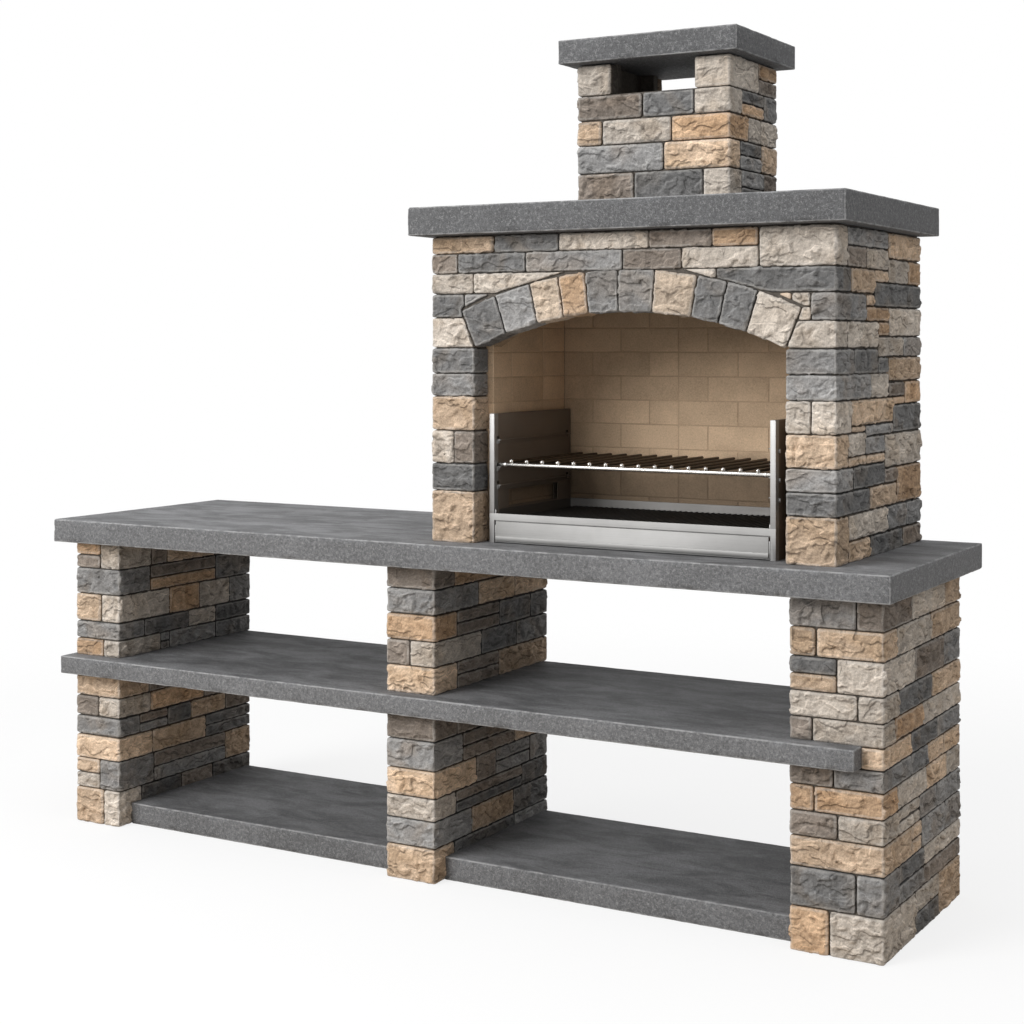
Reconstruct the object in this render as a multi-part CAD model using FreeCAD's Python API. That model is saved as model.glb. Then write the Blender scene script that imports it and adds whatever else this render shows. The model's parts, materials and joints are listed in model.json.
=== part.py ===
"""Stone garden barbecue: piers, slabs, arched hearth, chimney and a steel grill insert.

Millimetres, +Z up. The front faces -Y, +X runs to the right along the front.
The origin is on the ground, under the middle of the worktop.
"""
import FreeCAD, Part
import math
import os

V = FreeCAD.Vector

# Slabs
worktop_length = 2545.0
worktop_depth = 750.0
worktop_top = 900.0
worktop_thickness = 66.0
shelf_top = 495.0
shelf_thickness = 51.0
shelf_left_inset = 11.0
shelf_front_inset = 16.5
shelf_back_inset = 88.0
shelf_bearing_length = 175.0
base_slab_thickness = 61.5
base_slab_front_setback = 52.0
base_slab_back_setback = 14.0

# Masonry in general
stone_thickness = 36.0
stone_joint = 4.5

# Piers
pier_front_inset = 65.0
pier_back_inset = 75.0
left_pier_inset = 29.0
left_pier_width = 166.0
middle_pier_position = 1142.0
middle_pier_width = 150.0
right_pier_inset = 38.0
right_pier_width = 228.0

# Hearth
hearth_width = 1113.0
hearth_depth = 645.0
hearth_height = 801.0
hearth_right_inset = 155.5
hearth_back_inset = 25.0
jamb_left_width = 130.0
jamb_right_width = 127.0
jamb_depth = 75.0
top_band_height = 98.0

# Arch over the hearth opening
arch_spring_height = 510.0
arch_rise_height = 90.0
arch_ring_depth = 102.0
arch_clearance = 8.0
arch_backing_thickness = 40.0
arch_backing_lift = 10.0

# Firebrick lining
lining_thickness = 60.0
lining_reveal = 14.0
lining_back_setback = 467.0
brick_length = 175.0
brick_height = 66.3
brick_first_course = 33.0
side_brick_length = 124.0
brick_joint = 3.0

# Mantel, chimney and cap
mantel_thickness = 74.0
mantel_side_overhang = 42.0
mantel_front_overhang = 54.5
chimney_width = 430.0
chimney_depth = 315.0
chimney_height = 373.0
chimney_setback = 173.0
chimney_liner = 24.0
vent_width = 234.0
vent_height = 81.0
cap_thickness = 62.0
cap_side_overhang = 36.5
cap_front_overhang = 41.0

# Steel grill insert
insert_left_clearance = 8.0
insert_right_clearance = 25.0
insert_back_clearance = 7.0
insert_height = 336.0
insert_setback = 40.0
sheet = 2.0
flange = 12.0
base_height = 77.0
tray_seat_height = 56.0
tray_seat_width = 9.0
tray_rim_height = 30.0
tray_lip_height = 19.0
front_rail_height = 18.0
drawer_wall_height = 44.0
drawer_front_base = 6.0
drawer_lip_height = 12.0
drawer_lip_depth = 3.0
drawer_front_gap = 2.5
drawer_front_side_gap = 3.0
running_gap = 1.5
seat_gap = 0.3
coal_bar_width = 4.0
coal_bar_height = 7.0
coal_bar_pitch = 16.0
low_rail_height = 150.0
grate_rail_height = 198.0
high_rail_height = 268.0
rail_width = 10.0
rail_depth = 12.0
rail_setback = 14.0
window_sill_height = 90.0
window_head_height = 134.0
window_setback = 76.0
slot_length = 14.0
slot_height = 7.0
bolt_across = 10.0
bolt_height = 5.0
bolt_head_across = 7.0
bolt_head_height = 3.0
grate_rod = 10.0
grate_bar = 8.0
grate_bar_count = 16
grate_setback = 16.0
grate_back_clearance = 8.0
grate_front_rod_inset = 8.0
grate_back_rod_inset = 24.0
grate_end_margin = 38.0
collar_diameter = 13.0
collar_length = 6.0

# Faces shared by several pieces
LEFT = -worktop_length / 2
RIGHT = worktop_length / 2
FRONT = -worktop_depth / 2
BACK = worktop_depth / 2
worktop_under = worktop_top - worktop_thickness
shelf_under = shelf_top - shelf_thickness
pier_front = FRONT + pier_front_inset
pier_back = BACK - pier_back_inset
hearth_x1 = RIGHT - hearth_right_inset
hearth_x0 = hearth_x1 - hearth_width
hearth_back = BACK - hearth_back_inset
hearth_front = hearth_back - hearth_depth
hearth_top = worktop_top + hearth_height
opening_x0 = hearth_x0 + jamb_left_width
opening_x1 = hearth_x1 - jamb_right_width
firebox_x0 = opening_x0 + lining_reveal
firebox_x1 = opening_x1 - lining_reveal
firebox_front = hearth_front + jamb_depth
firebox_back = hearth_front + lining_back_setback
arch_centre_x = (opening_x0 + opening_x1) / 2
arch_half_span = (opening_x1 - opening_x0) / 2
arch_radius = (arch_half_span ** 2 + arch_rise_height ** 2) / (2 * arch_rise_height)
spring_z = worktop_top + arch_spring_height
arch_centre_z = spring_z + arch_rise_height - arch_radius
arch_half_angle = math.asin(arch_half_span / arch_radius)
haunch_z = arch_centre_z + (arch_radius + arch_ring_depth + arch_clearance) * math.cos(arch_half_angle)
mantel_top = hearth_top + mantel_thickness
chimney_x0 = (hearth_x0 + hearth_x1 - chimney_width) / 2
chimney_x1 = chimney_x0 + chimney_width
chimney_y0 = hearth_front + chimney_setback
chimney_y1 = chimney_y0 + chimney_depth
chimney_top = mantel_top + chimney_height
vent_sill = chimney_top - vent_height

# Stone kinds, as they are marked in the coursing below
KINDS = {"k": "charcoal", "g": "grey", "c": "cream", "b": "buff", "h": "honey", "n": "brown"}

# Coursing, from the ground up. A course is its height, its front stones from left to right and its
# right side from front to back. A stone is its length and its kind, two thin stones in one place are
# lower/upper, and a bare length at the head of a side is the return of the corner stone.
LEFT_PIER_LOWER = (
    (103, "107b 60c", "98 175k 145n/n 180k"),
    (85, "90c/b 75g", "150 325g/n 120b"),
    (68, "166b", "145 240b 212k/k"),
    (55, "166g", "90 120g/n 105k 160b 120n"),
    (58, "86n 80c", "137 240h 220n"),
    (65, "166b", "130 230n 240k"),
)
LEFT_PIER_UPPER = (
    (50, "105h 62c", "180 40g/g 212g 165k"),
    (50, "166g", "110 195k 125c 165k"),
    (78, "96b 70c", "218 135h 140c 100g"),
    (73, "166g", "135 295h/n 165k"),
    (76, "92n/h 74c", "140 70n 220b 170n"),
)
MIDDLE_PIER_LOWER = (
    (90, "150b", "97 305k 180g"),
    (68, "150g", "183 215b 185k"),
    (58, "150c", "105 337k/n 140k"),
    (70, "150b", "205 100n 182g/g 95g"),
    (75, "150g", "140 265n/n 180b"),
    (68, "150n", "110 230n 245k"),
)
MIDDLE_PIER_UPPER = (
    (73, "150b", "112 208n/n 262b"),
    (66, "72n 78c", "232 183k 170g"),
    (68, "150h", "110 215n/n 168k 92k"),
    (66, "150g", "218 190b 178b"),
    (60, "150n", "100 230h 260n"),
)
RIGHT_PIER_LOWER = (
    (105, "97h 130c", "125 115c 185k/c 180b"),
    (92, "162k 66g", "115 190g/k 300n/c"),
    (70, "228b", "210 78b/b 190g 127g"),
    (58, "117n 110c", "108 165c/c 140g 195g"),
    (60, "60h 168h", "105 222c 168b 115c"),
    (50, "107n 120g", "205 130k 132b 135b"),
)
RIGHT_PIER_SHELF_COURSE = "205b 203k 190g"
RIGHT_PIER_UPPER = (
    (56, "56n 172c", "85 210h 180c 125c"),
    (60, "166c 62c", "115 255k 235b"),
    (80, "115b/k 112c", "235 235n 135g"),
    (68, "65b 163b", "100 260c 240b"),
    (72, "162g 65n", "215 260c 130b"),
)
CHIMNEY = (
    (87, "160n 191k 72c", "80 145k/g 85n"),
    (72, "245g 182b", "68 137g/k 100b"),
    (64, "70b 196c 160h", "120 80c 105c"),
    (64, "185n 143k 98c", "80 145h/k 85g"),
)
CHIMNEY_VENT_POST = ("98c", "187 120n/h")

# The two jambs of the hearth course differently. Front stones run from the opening out to the corner,
# the side from front to back and the back from the left corner to the right. On the right only the
# return of the corner stone is given.
HEARTH_LEFT = (
    (130, "130b", "100 150g 230k/n 165b", "230k 310g 270n 303b"),
    (69, "130k", "225 190b 230n", "140b 260n 286k 190c 237g"),
    (82, "63n 67c", "120 210c 90k 225g", "260c 296n 210b 347k"),
    (85, "130b", "90 255k 130g 170n", "150n 330b 196g 240c 197k"),
    (57, "130g", "235 185n 225k", "250g 316k 260n 287b"),
    (64, "130k", "110 215b 320g", "180k 230c 296n 210b 197g"),
)
HEARTH_LEFT_SPANDREL = (
    (77, "0c", "95 290g 260n", "270b 190g 310c 343k"),
    (60, "104g 98k", "210 165h 270c", "160c 190k 286b 250n 227g"),
    (51, "228c 127c", "105 240k 300g", "310n 246c 230k 327b"),
)
HEARTH_RIGHT = (
    (106, "127b", "88"),
    (52, "127k", "240"),
    (51, "127g", "120"),
    (74, "127b", "85"),
    (72, "62c 61c", "110"),
    (56, "127g", "250"),
    (57, "127g", "125"),
)
HEARTH_RIGHT_SPANDREL = (
    (66, "0c", "80"),
    (68, "60b 48c/c 63g", "215"),
    (61, "93c 303k", "105"),
)
HEARTH_TOP = (
    (51, "78n 201k 272g 160n 198c 191-", "85 135n 175g 275b", "200c 240n 190k 230b 253g"),
    (45, "185b 187k 248c 165n 118h 191-", "85 290k 150c 135h", "260n 180g 220b 200c 253n"),
)

# The right side of the hearth is laid free of the front courses. A stone is where it starts and ends
# from front to back, or a dash for the end of the corner stone, the front course lines that it stands
# on and reaches up to, counted from the worktop in parts of a course, and its kind.
HEARTH_RIGHT_SIDE = (
    "- 243 0 0.46 b", "243 495 0 0.46 k", "495 645 0 0.46 n",
    "- 374 0.46 1 c", "374 525 0.46 1 g", "525 645 0.46 1 g",
    "- 446 1 2 b", "446 645 1 2.7 h",
    "- 354 2 3 k", "354 446 2 2.7 n", "354 645 2.7 3.85 c",
    "- 216 3 3.3 b", "216 354 3 3.3 b", "- 210 3.3 4 c", "210 354 3.3 3.85 g",
    "- 210 4 4.2 b", "210 417 3.85 4.2 g", "417 645 3.85 4.75 k",
    "- 417 4.2 5 b", "417 512 4.75 5 h", "512 645 4.75 5.65 h",
    "- 384 5 6 c", "384 512 5 5.65 n", "384 645 5.65 6.65 b",
    "- 303 6 7 k", "303 384 6 6.65 k", "303 501 6.65 7.45 c", "501 645 6.65 7.45 g",
    "- 303 7 8 c", "303 386 7.45 8 h", "386 645 7.45 8.55 c",
    "- 386 8 8.55 h", "- 276 8.55 9 b", "276 645 8.55 9.5 k",
    "- 276 9 10 b", "276 382 9.5 10 b", "382 541 9.5 10.6 c", "541 645 9.5 10.6 h",
    "- 216 10 11 n", "216 382 10 11 c", "- 382 11 12 g", "382 645 10.6 12 b",
)

# Stones of the arch ring from left to right
VOUSSOIRS = "92 90 72 66 78 86 98 68 70 99"

nodes = {}


def add(node, *solids):
    """Put solids into a named node."""
    nodes.setdefault(node, []).extend(solids)


def block(x0, x1, y0, y1, z0, z1):
    """A box between two corners."""
    return Part.makeBox(x1 - x0, y1 - y0, z1 - z0, V(x0, y0, z0))


def prism(points, direction):
    """A flat outline pushed along a direction."""
    outline = [V(*point) for point in points]
    return Part.Face(Part.makePolygon(outline + outline[:1])).extrude(direction)


def rod(start, direction, diameter, length):
    """A round bar from a point along a direction."""
    return Part.makeCylinder(diameter / 2, length, V(*start), V(*direction))


def cells(text):
    """Read stones written as length and kind into pairs."""
    pairs = []
    for word in text.split():
        digits = word.rstrip("-/" + "".join(KINDS))
        pairs.append((float(digits), word[len(digits):]))
    return pairs


def fitted(pairs, length):
    """Stretch stones so that together they fill a length."""
    total = sum(size for size, _ in pairs)
    return [(size * length / total, kind) for size, kind in pairs]


class Wall:
    """A rectangular band of stones around a core, measured along its outer face.

    The measure starts at the front left corner and goes along the front, the right side, the back
    and the left side.
    """

    def __init__(self, place, x0, x1, y0, y1, front_thickness=stone_thickness):
        self.place = place
        self.outer = (x0, x1, y0, y1)
        self.inner = (x0 + stone_thickness, x1 - stone_thickness, y0 + front_thickness, y1 - stone_thickness)
        self.width = x1 - x0
        self.depth = y1 - y0
        self.corners = (0, self.width, self.width + self.depth, 2 * self.width + self.depth,
                        2 * (self.width + self.depth))

    def point(self, rect, along):
        """The point of a rectangle that faces a place on the outer perimeter."""
        x0, x1, y0, y1 = self.outer
        along = along % self.corners[4]
        if along < self.corners[1]:
            return (x0 + along, rect[2])
        if along < self.corners[2]:
            return (rect[1], y0 + along - self.corners[1])
        if along < self.corners[3]:
            return (x1 - (along - self.corners[2]), rect[3])
        return (rect[0], y1 - (along - self.corners[3]))

    def corner(self, rect, index):
        """One of a rectangle's corners, counted from the front left."""
        return ((rect[0], rect[2]), (rect[1], rect[2]), (rect[1], rect[3]), (rect[0], rect[3]))[index % 4]

    def stone(self, start, end, z0, z1, kind, mirrored=False, wedge=None):
        """One stone, or two thin ones, between two places on the perimeter."""
        a = start + stone_joint / 2
        b = end - stone_joint / 2
        turns = []
        for lap in (-1, 0, 1):
            for index in range(4):
                if a < self.corners[index] + lap * self.corners[4] < b:
                    turns.append(index)
        outline = [self.point(self.outer, a)]
        outline += [self.corner(self.outer, index) for index in turns]
        outline += [self.point(self.outer, b), self.point(self.inner, b)]
        outline += [self.corner(self.inner, index) for index in reversed(turns)]
        outline.append(self.point(self.inner, a))
        if mirrored:
            middle = self.outer[0] + self.outer[1]
            outline = [(middle - x, y) for x, y in outline]
        layers = kind.split("/")
        layer = (z1 - z0 + stone_joint) / len(layers)
        for step, letter in enumerate(layers):
            bottom = z0 + step * layer
            shape = prism([(x, y, bottom) for x, y in outline], V(0, 0, layer - stone_joint))
            if wedge:
                shape = shape.cut(wedge)
            add(f"{self.place}_{KINDS[letter]}_stones", shape)

    def run(self, start, pairs, z0, z1, **options):
        """Stones one after another from a place on the perimeter; gaps are marked with a dash."""
        for size, kind in pairs:
            if kind != "-":
                self.stone(start, start + size, z0, z1, kind, **options)
            start += size

    def ring(self, front, right, back, left_middle, z0, z1):
        """A closed course; both front corners return alike, and so do both back corners."""
        front = fitted(cells(front), self.width)
        right = fitted(cells(right), self.depth)
        back = fitted(cells(back), self.width)
        front_return = right[0][0]
        back_return = right[-1][0]
        left = fitted(cells(left_middle)[1:-1][::-1], self.depth - front_return - back_return)
        front[0] = (front[0][0] + front_return, front[0][1])
        front[-1] = (front[-1][0] + front_return, front[-1][1])
        back[0] = (back[0][0] + back_return, right[-1][1])
        back[-1] = (back[-1][0] + back_return, back[-1][1])
        self.run(-front_return, front + right[1:-1] + back + left, z0, z1)

    def wrap(self, start, front, side, back, z0, z1, **options):
        """A course from a place on the front, round the right corner and along the back to the far side."""
        front = fitted(cells(front), self.width - start)
        side = fitted(cells(side), self.depth)
        back = fitted(cells(back), self.width - stone_thickness)
        front[-1] = (front[-1][0] + side[0][0], front[-1][1])
        corner = (side[-1][0] + back[0][0], back[0][1])
        self.run(start, front + side[1:-1] + [corner] + back[1:], z0, z1, **options)

    def front_part(self, start, front, corner, z0, z1, **options):
        """A course from a place on the front up to its right corner stone."""
        front = fitted(cells(front), self.width - start)
        front[-1] = (front[-1][0] + float(corner), front[-1][1])
        self.run(start, front, z0, z1, **options)


def shortened(back):
    """Stones along the back, the first one butting against the side's."""
    return [(back[0][0] - stone_thickness, back[0][1])] + back[1:]


def levels(courses, z0, z1):
    """Bottom and top of each course of a stack, with a joint above each."""
    scale = (z1 - z0) / sum(course[0] for course in courses)
    spans = []
    for course in courses:
        spans.append((z0, z0 + course[0] * scale - stone_joint))
        z0 += course[0] * scale
    return spans


def stack(wall, courses, z0, z1):
    """Closed courses; the hidden left and back faces borrow from the next course."""
    for index, (z_low, z_high) in enumerate(levels(courses, z0, z1)):
        _, front, right = courses[index]
        _, next_front, _ = courses[(index + 1) % len(courses)]
        middles = [course[2] for course in courses if len(course[2].split()) > 2]
        wall.ring(front, right, " ".join(next_front.split()[::-1]), middles[(index + 2) % len(middles)],
                  z_low, z_high)


def pier(place, x0, x1, lower, upper):
    """A pier in two lifts, below and above the middle shelf, each on its own core."""
    wall = Wall(place, x0, x1, pier_front, pier_back)
    cx0, cx1, cy0, cy1 = wall.inner
    for courses, z0, z1 in ((lower, 0.0, shelf_under), (upper, shelf_top, worktop_under)):
        add(f"{place}_core", block(cx0, cx1, cy0, cy1, z0, z1))
        stack(wall, courses, z0, z1)
    return wall


def slabs():
    """The two base slabs, the middle shelf, the worktop, the mantel and the chimney cap."""
    base_y0 = pier_front + base_slab_front_setback
    base_y1 = pier_back - base_slab_back_setback
    add("base_slab_left", block(left_x1, middle_x0, base_y0, base_y1, 0, base_slab_thickness))
    add("base_slab_right", block(middle_x1, right_x0, base_y0, base_y1, 0, base_slab_thickness))
    add("middle_shelf", block(LEFT + shelf_left_inset, shelf_end, FRONT + shelf_front_inset,
                              BACK - shelf_back_inset, shelf_under, shelf_top))
    add("worktop", block(LEFT, RIGHT, FRONT, BACK, worktop_under, worktop_top))
    mantel = block(hearth_x0 - mantel_side_overhang, hearth_x1 + mantel_side_overhang,
                   hearth_front - mantel_front_overhang, BACK, hearth_top, mantel_top)
    add("mantel_slab", mantel.cut(flue(hearth_top, mantel_top)))
    add("chimney_cap", block(chimney_x0 - cap_side_overhang, chimney_x1 + cap_side_overhang,
                             chimney_y0 - cap_front_overhang, chimney_y1 + cap_front_overhang,
                             chimney_top, chimney_top + cap_thickness))


def flue(z0, z1):
    """The clear space of the flue between two heights."""
    wall = stone_thickness + chimney_liner
    return block(chimney_x0 + wall, chimney_x1 - wall, chimney_y0 + wall, chimney_y1 - wall, z0, z1)


def piers():
    """Three piers, and the stones beside the shelf's end in the right one."""
    pier("left_pier", left_x0, left_x1, LEFT_PIER_LOWER, LEFT_PIER_UPPER)
    pier("middle_pier", middle_x0, middle_x1, MIDDLE_PIER_LOWER, MIDDLE_PIER_UPPER)
    pier("right_pier", right_x0, right_x1, RIGHT_PIER_LOWER, RIGHT_PIER_UPPER)
    y = pier_front
    for length, kind in fitted(cells(RIGHT_PIER_SHELF_COURSE), pier_back - pier_front):
        y0 = y if y == pier_front else y + stone_joint / 2
        y += length
        y1 = y if abs(y - pier_back) < stone_joint else y - stone_joint / 2
        add(f"right_pier_{KINDS[kind]}_stones",
            block(shelf_end, right_x1, y0, y1, shelf_under, shelf_top - stone_joint))


def ring_edge(z):
    """Half the width that the arch ring takes at a height, from its radial foot to its crown."""
    foot = arch_half_span + (z - spring_z) * math.tan(arch_half_angle) + stone_joint
    reach = arch_radius + arch_ring_depth + arch_clearance
    back = math.sqrt(max(reach ** 2 - (z - arch_centre_z) ** 2, 0.0))
    return min(foot, back)


def hearth():
    """Walls of the hearth: jambs, sides, back and the band over the arch, on their cores."""
    wall = Wall("hearth", hearth_x0, hearth_x1, hearth_front, hearth_back, jamb_depth)
    x0, x1, y0, y1 = wall.inner
    lining_x0 = firebox_x0 - lining_thickness
    lining_x1 = firebox_x1 + lining_thickness
    lining_y1 = firebox_back + lining_thickness
    add("hearth_left_core", block(x0, lining_x0, y0, lining_y1, worktop_top, hearth_top))
    add("hearth_right_core", block(lining_x1, x1, y0, lining_y1, worktop_top, hearth_top))
    add("hearth_back_core", block(x0, x1, lining_y1, y1, worktop_top, hearth_top))
    band = hearth_top - top_band_height
    halves = ((HEARTH_LEFT, HEARTH_LEFT_SPANDREL, jamb_left_width, True),
              (HEARTH_RIGHT, HEARTH_RIGHT_SPANDREL, jamb_right_width, False))
    for jamb, spandrel, jamb_width, mirrored in halves:
        lay = wall.wrap if mirrored else wall.front_part
        for course, (z0, z1) in zip(jamb, levels(jamb, worktop_top, spring_z)):
            lay(wall.width - jamb_width, *course[1:], z0, z1, mirrored=mirrored)
        for course, (z0, z1) in zip(spandrel, levels(spandrel, spring_z, band)):
            spandrel_course(wall, course, z0, z1, mirrored)
    for course, (z0, z1) in zip(HEARTH_TOP, levels(HEARTH_TOP, band, hearth_top)):
        top_course(wall, course, z0, z1)
    corner_front = fitted(cells(HEARTH_TOP[0][1]), wall.width)[-1][0]
    corner_side = fitted(cells(HEARTH_TOP[0][2]), wall.depth)[0][0]
    wall.stone(wall.width - corner_front, wall.width + corner_side, band, hearth_top - stone_joint, "c")
    corners = [float(course[2]) for course in HEARTH_RIGHT + HEARTH_RIGHT_SPANDREL]
    corners += [corner_side for _ in HEARTH_TOP]
    spans = levels(HEARTH_RIGHT, worktop_top, spring_z) + levels(HEARTH_RIGHT_SPANDREL, spring_z, band)
    spans += levels(HEARTH_TOP, band, hearth_top)
    free_side(wall, [low for low, _ in spans] + [hearth_top], corners)


def free_side(wall, lines, corners):
    """The right side, stone by stone, behind corner stones that reach back by the lengths given."""
    rows = [row.split() for row in HEARTH_RIGHT_SIDE]
    stretch = wall.depth / max(float(back) for _, back, _, _, _ in rows)
    for front, back, low, high, kind in rows:
        start = corners[int(float(low))] if front == "-" else float(front) * stretch
        end = float(back) * stretch
        last = end > wall.depth - stone_joint
        y0 = hearth_front + start + stone_joint / 2
        y1 = hearth_back if last else hearth_front + end - stone_joint / 2
        z0 = course_height(lines, float(low))
        z1 = course_height(lines, float(high)) - stone_joint
        add(f"hearth_{KINDS[kind]}_stones", block(wall.inner[1], wall.outer[1], y0, y1, z0, z1))


def course_height(lines, place):
    """Height of a place counted in courses, between the course lines below and above it."""
    below = min(int(place), len(lines) - 2)
    return lines[below] + (place - below) * (lines[below + 1] - lines[below])


def spandrel_course(wall, course, z0, z1, mirrored):
    """A course beside the arch; its stones are cut to the ring."""
    _, front, *rest = course
    outer_pairs = cells(front)[1:]
    heights = [z0] + ([haunch_z] if z0 < haunch_z < z1 else []) + [z1]
    toward = -1 if mirrored else 1
    edge = [(arch_centre_x, z0)] + [(arch_centre_x + toward * ring_edge(z), z) for z in heights]
    edge.append((arch_centre_x, z1))
    wedge = prism([(x, hearth_front, z) for x, z in edge], V(0, jamb_depth, 0))
    corner_x = wall.outer[0] if mirrored else wall.outer[1]
    reach = abs(corner_x - arch_centre_x) - min(ring_edge(z0), ring_edge(z1))
    first = reach - sum(size for size, _ in outer_pairs)
    words = [f"{first}{cells(front)[0][1]}"] + front.split()[1:]
    lay = wall.wrap if mirrored else wall.front_part
    lay(wall.width - reach, " ".join(words), *rest, z0, z1, mirrored=mirrored, wedge=wedge)


def top_course(wall, course, z0, z1):
    """A course over the arch, but for its right side; a tall corner stone stands in its front right gap."""
    _, front, side, back = course
    front = fitted(cells(front), wall.width)
    side = fitted(cells(side), wall.depth)
    back = shortened(fitted(cells(back), wall.width))
    front_return, back_return = side[0][0], side[-1][0]
    front[0] = (front[0][0] + front_return, front[0][1])
    back[-1] = (back[-1][0] + back_return, back[-1][1])
    wall.run(-front_return, front, z0, z1)
    wall.run(wall.corners[2] + stone_thickness, back + side[1:-1][::-1], z0, z1)


def arch_point(radius, angle):
    """A point of the arch in the front view, at an angle from its crown."""
    return arch_centre_x + radius * math.sin(angle), arch_centre_z + radius * math.cos(angle)


def arch():
    """The ring of voussoirs over the opening, and the backing panel that carries it."""
    outer = arch_radius + arch_ring_depth
    joint_angle = stone_joint / outer
    angle = -arch_half_angle
    soffit = []
    for share, _ in fitted(cells(VOUSSOIRS), 2 * arch_half_angle):
        a = angle + joint_angle / 2
        angle += share
        b = angle - joint_angle / 2
        face = [arch_point(arch_radius, a), arch_point(arch_radius, b), arch_point(outer, b),
                arch_point(outer, a)]
        add("arch_voussoirs", prism([(x, hearth_front, z) for x, z in face], V(0, jamb_depth, 0)))
        soffit.append(arch_point(arch_radius + arch_backing_lift, angle))
    inside = [(x, z) for x, z in soffit if firebox_x0 < x < firebox_x1]
    panel = [(firebox_x0, spring_z)] + inside + [(firebox_x1, spring_z), (firebox_x1, hearth_top),
                                                 (firebox_x0, hearth_top)]
    add("arch_backing", prism([(x, firebox_front, z) for x, z in panel], V(0, arch_backing_thickness, 0)))


def brick_wall(node, length, bonds, place):
    """Courses of brick up to the mantel; place turns a span along the wall into a brick."""
    z0 = worktop_top
    z1 = z0 + brick_first_course
    row = 0
    while z0 < hearth_top - brick_joint:
        if hearth_top - z1 < brick_height / 4:
            z1 = hearth_top
        bond = bonds[row % len(bonds)]
        start = 0.0
        turn = 0
        while start < length - brick_joint:
            end = start + bond[turn % len(bond)]
            if length - end < brick_length / 4:
                end = length
            low = start + (brick_joint if start else 0.0)
            add(node, place(low, end, z0, z1 - brick_joint))
            start = end
            turn += 1
        z0 = z1
        z1 += brick_height
        row += 1


def lining():
    """Firebrick on the back and both sides of the fire chamber."""
    x0 = firebox_x0 - lining_thickness
    x1 = firebox_x1 + lining_thickness
    back = firebox_back + lining_thickness
    half = brick_length / 2
    back_bonds = ((lining_thickness + brick_length, brick_length, half, brick_length),
                  (lining_thickness + half, brick_length, half, brick_length, brick_length))
    side_bonds = ((side_brick_length, brick_length - brick_joint, side_brick_length),)
    brick_wall("firebrick_back", x1 - x0, back_bonds,
               lambda a, b, z0, z1: block(x0 + a, x0 + b, firebox_back, back, z0, z1))
    brick_wall("firebrick_left", firebox_back - firebox_front, side_bonds,
               lambda a, b, z0, z1: block(x0, firebox_x0, firebox_back - b, firebox_back - a, z0, z1))
    brick_wall("firebrick_right", firebox_back - firebox_front, side_bonds,
               lambda a, b, z0, z1: block(firebox_x1, x1, firebox_back - b, firebox_back - a, z0, z1))


def chimney():
    """The stack: a hollow liner clad in stone, with a vent through its top course."""
    wall = Wall("chimney", chimney_x0, chimney_x1, chimney_y0, chimney_y1)
    stack(wall, CHIMNEY, mantel_top, vent_sill)
    x0, x1, y0, y1 = wall.inner
    middle = (chimney_x0 + chimney_x1) / 2
    vent = block(middle - vent_width / 2, middle + vent_width / 2, y0, y1, vent_sill, chimney_top)
    tube = block(x0, x1, y0, y1, mantel_top, chimney_top).cut(flue(mantel_top, chimney_top))
    add("chimney_liner", tube.cut(vent))
    post = (chimney_width - vent_width) / 2
    front, side = CHIMNEY_VENT_POST
    returns = fitted(cells(side), chimney_depth)
    z0, z1 = vent_sill, chimney_top - stone_joint
    for mirrored in (False, True):
        start = chimney_width - post
        turn = chimney_width + returns[0][0]
        end = chimney_width + chimney_depth + post
        wall.stone(start, turn, z0, z1, cells(front)[0][1], mirrored=mirrored)
        wall.stone(turn, end, z0, z1, returns[1][1], mirrored=mirrored)


def hexagon(x, y, z, across, height):
    """A hexagon bolt head that stands out along X; a negative height points to the left."""
    radius = across / math.sqrt(3)
    corners = [(x, y + radius * math.cos(math.radians(60 * i)), z + radius * math.sin(math.radians(60 * i)))
               for i in range(6)]
    return prism(corners, V(height, 0, 0))


def grill_insert():
    """The steel grill unit that stands on the worktop inside the fire chamber."""
    x0 = firebox_x0 + insert_left_clearance
    x1 = firebox_x1 - insert_right_clearance
    y0 = hearth_front + insert_setback
    y1 = firebox_back - insert_back_clearance
    web0 = x0 + flange
    web1 = x1 - flange
    in0 = web0 + sheet
    in1 = web1 - sheet
    base_top = worktop_top + base_height
    grill_base(x0, x1, y0, y1, web0, web1)
    side_panels(x0, x1, y0, y1, web0, web1, base_top)
    ash_drawer(in0 + running_gap, in1 - running_gap, y0, y1 - sheet - running_gap)
    tray_y0 = y0 + sheet + running_gap
    charcoal_tray(in0 + running_gap, in1 - running_gap, tray_y0, y1 - sheet - running_gap)
    cooking_grate(in0 + running_gap, in1 - running_gap, y0 + grate_setback, y1 - grate_back_clearance)


def grill_base(x0, x1, y0, y1, web0, web1):
    """Floor, hollow side walls, back wall, front rail and the ledges under the charcoal tray."""
    z0 = worktop_top
    z1 = z0 + base_height
    seat = z0 + tray_seat_height
    shape = block(web0, web1, y0 + flange, y1, z0, z0 + sheet)
    shape = shape.fuse(block(web0, web1, y1 - sheet, y1, z0, z1))
    shape = shape.fuse(block(web0, web1, y0, y0 + sheet, z1 - front_rail_height, z1))
    for side0, side1 in ((x0, web0 + sheet), (web1 - sheet, x1)):
        side = block(side0, side1, y0, y1, z0, z1)
        shape = shape.fuse(side.cut(block(side0 + sheet, side1 - sheet, y0 + sheet, y1 - sheet, z0, z1)))
    for seat0 in (web0 + sheet, web1 - sheet - tray_seat_width):
        shape = shape.fuse(block(seat0, seat0 + tray_seat_width, y0 + flange, y1, seat - sheet, seat))
    add("grill_base", shape.removeSplitter())


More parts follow.
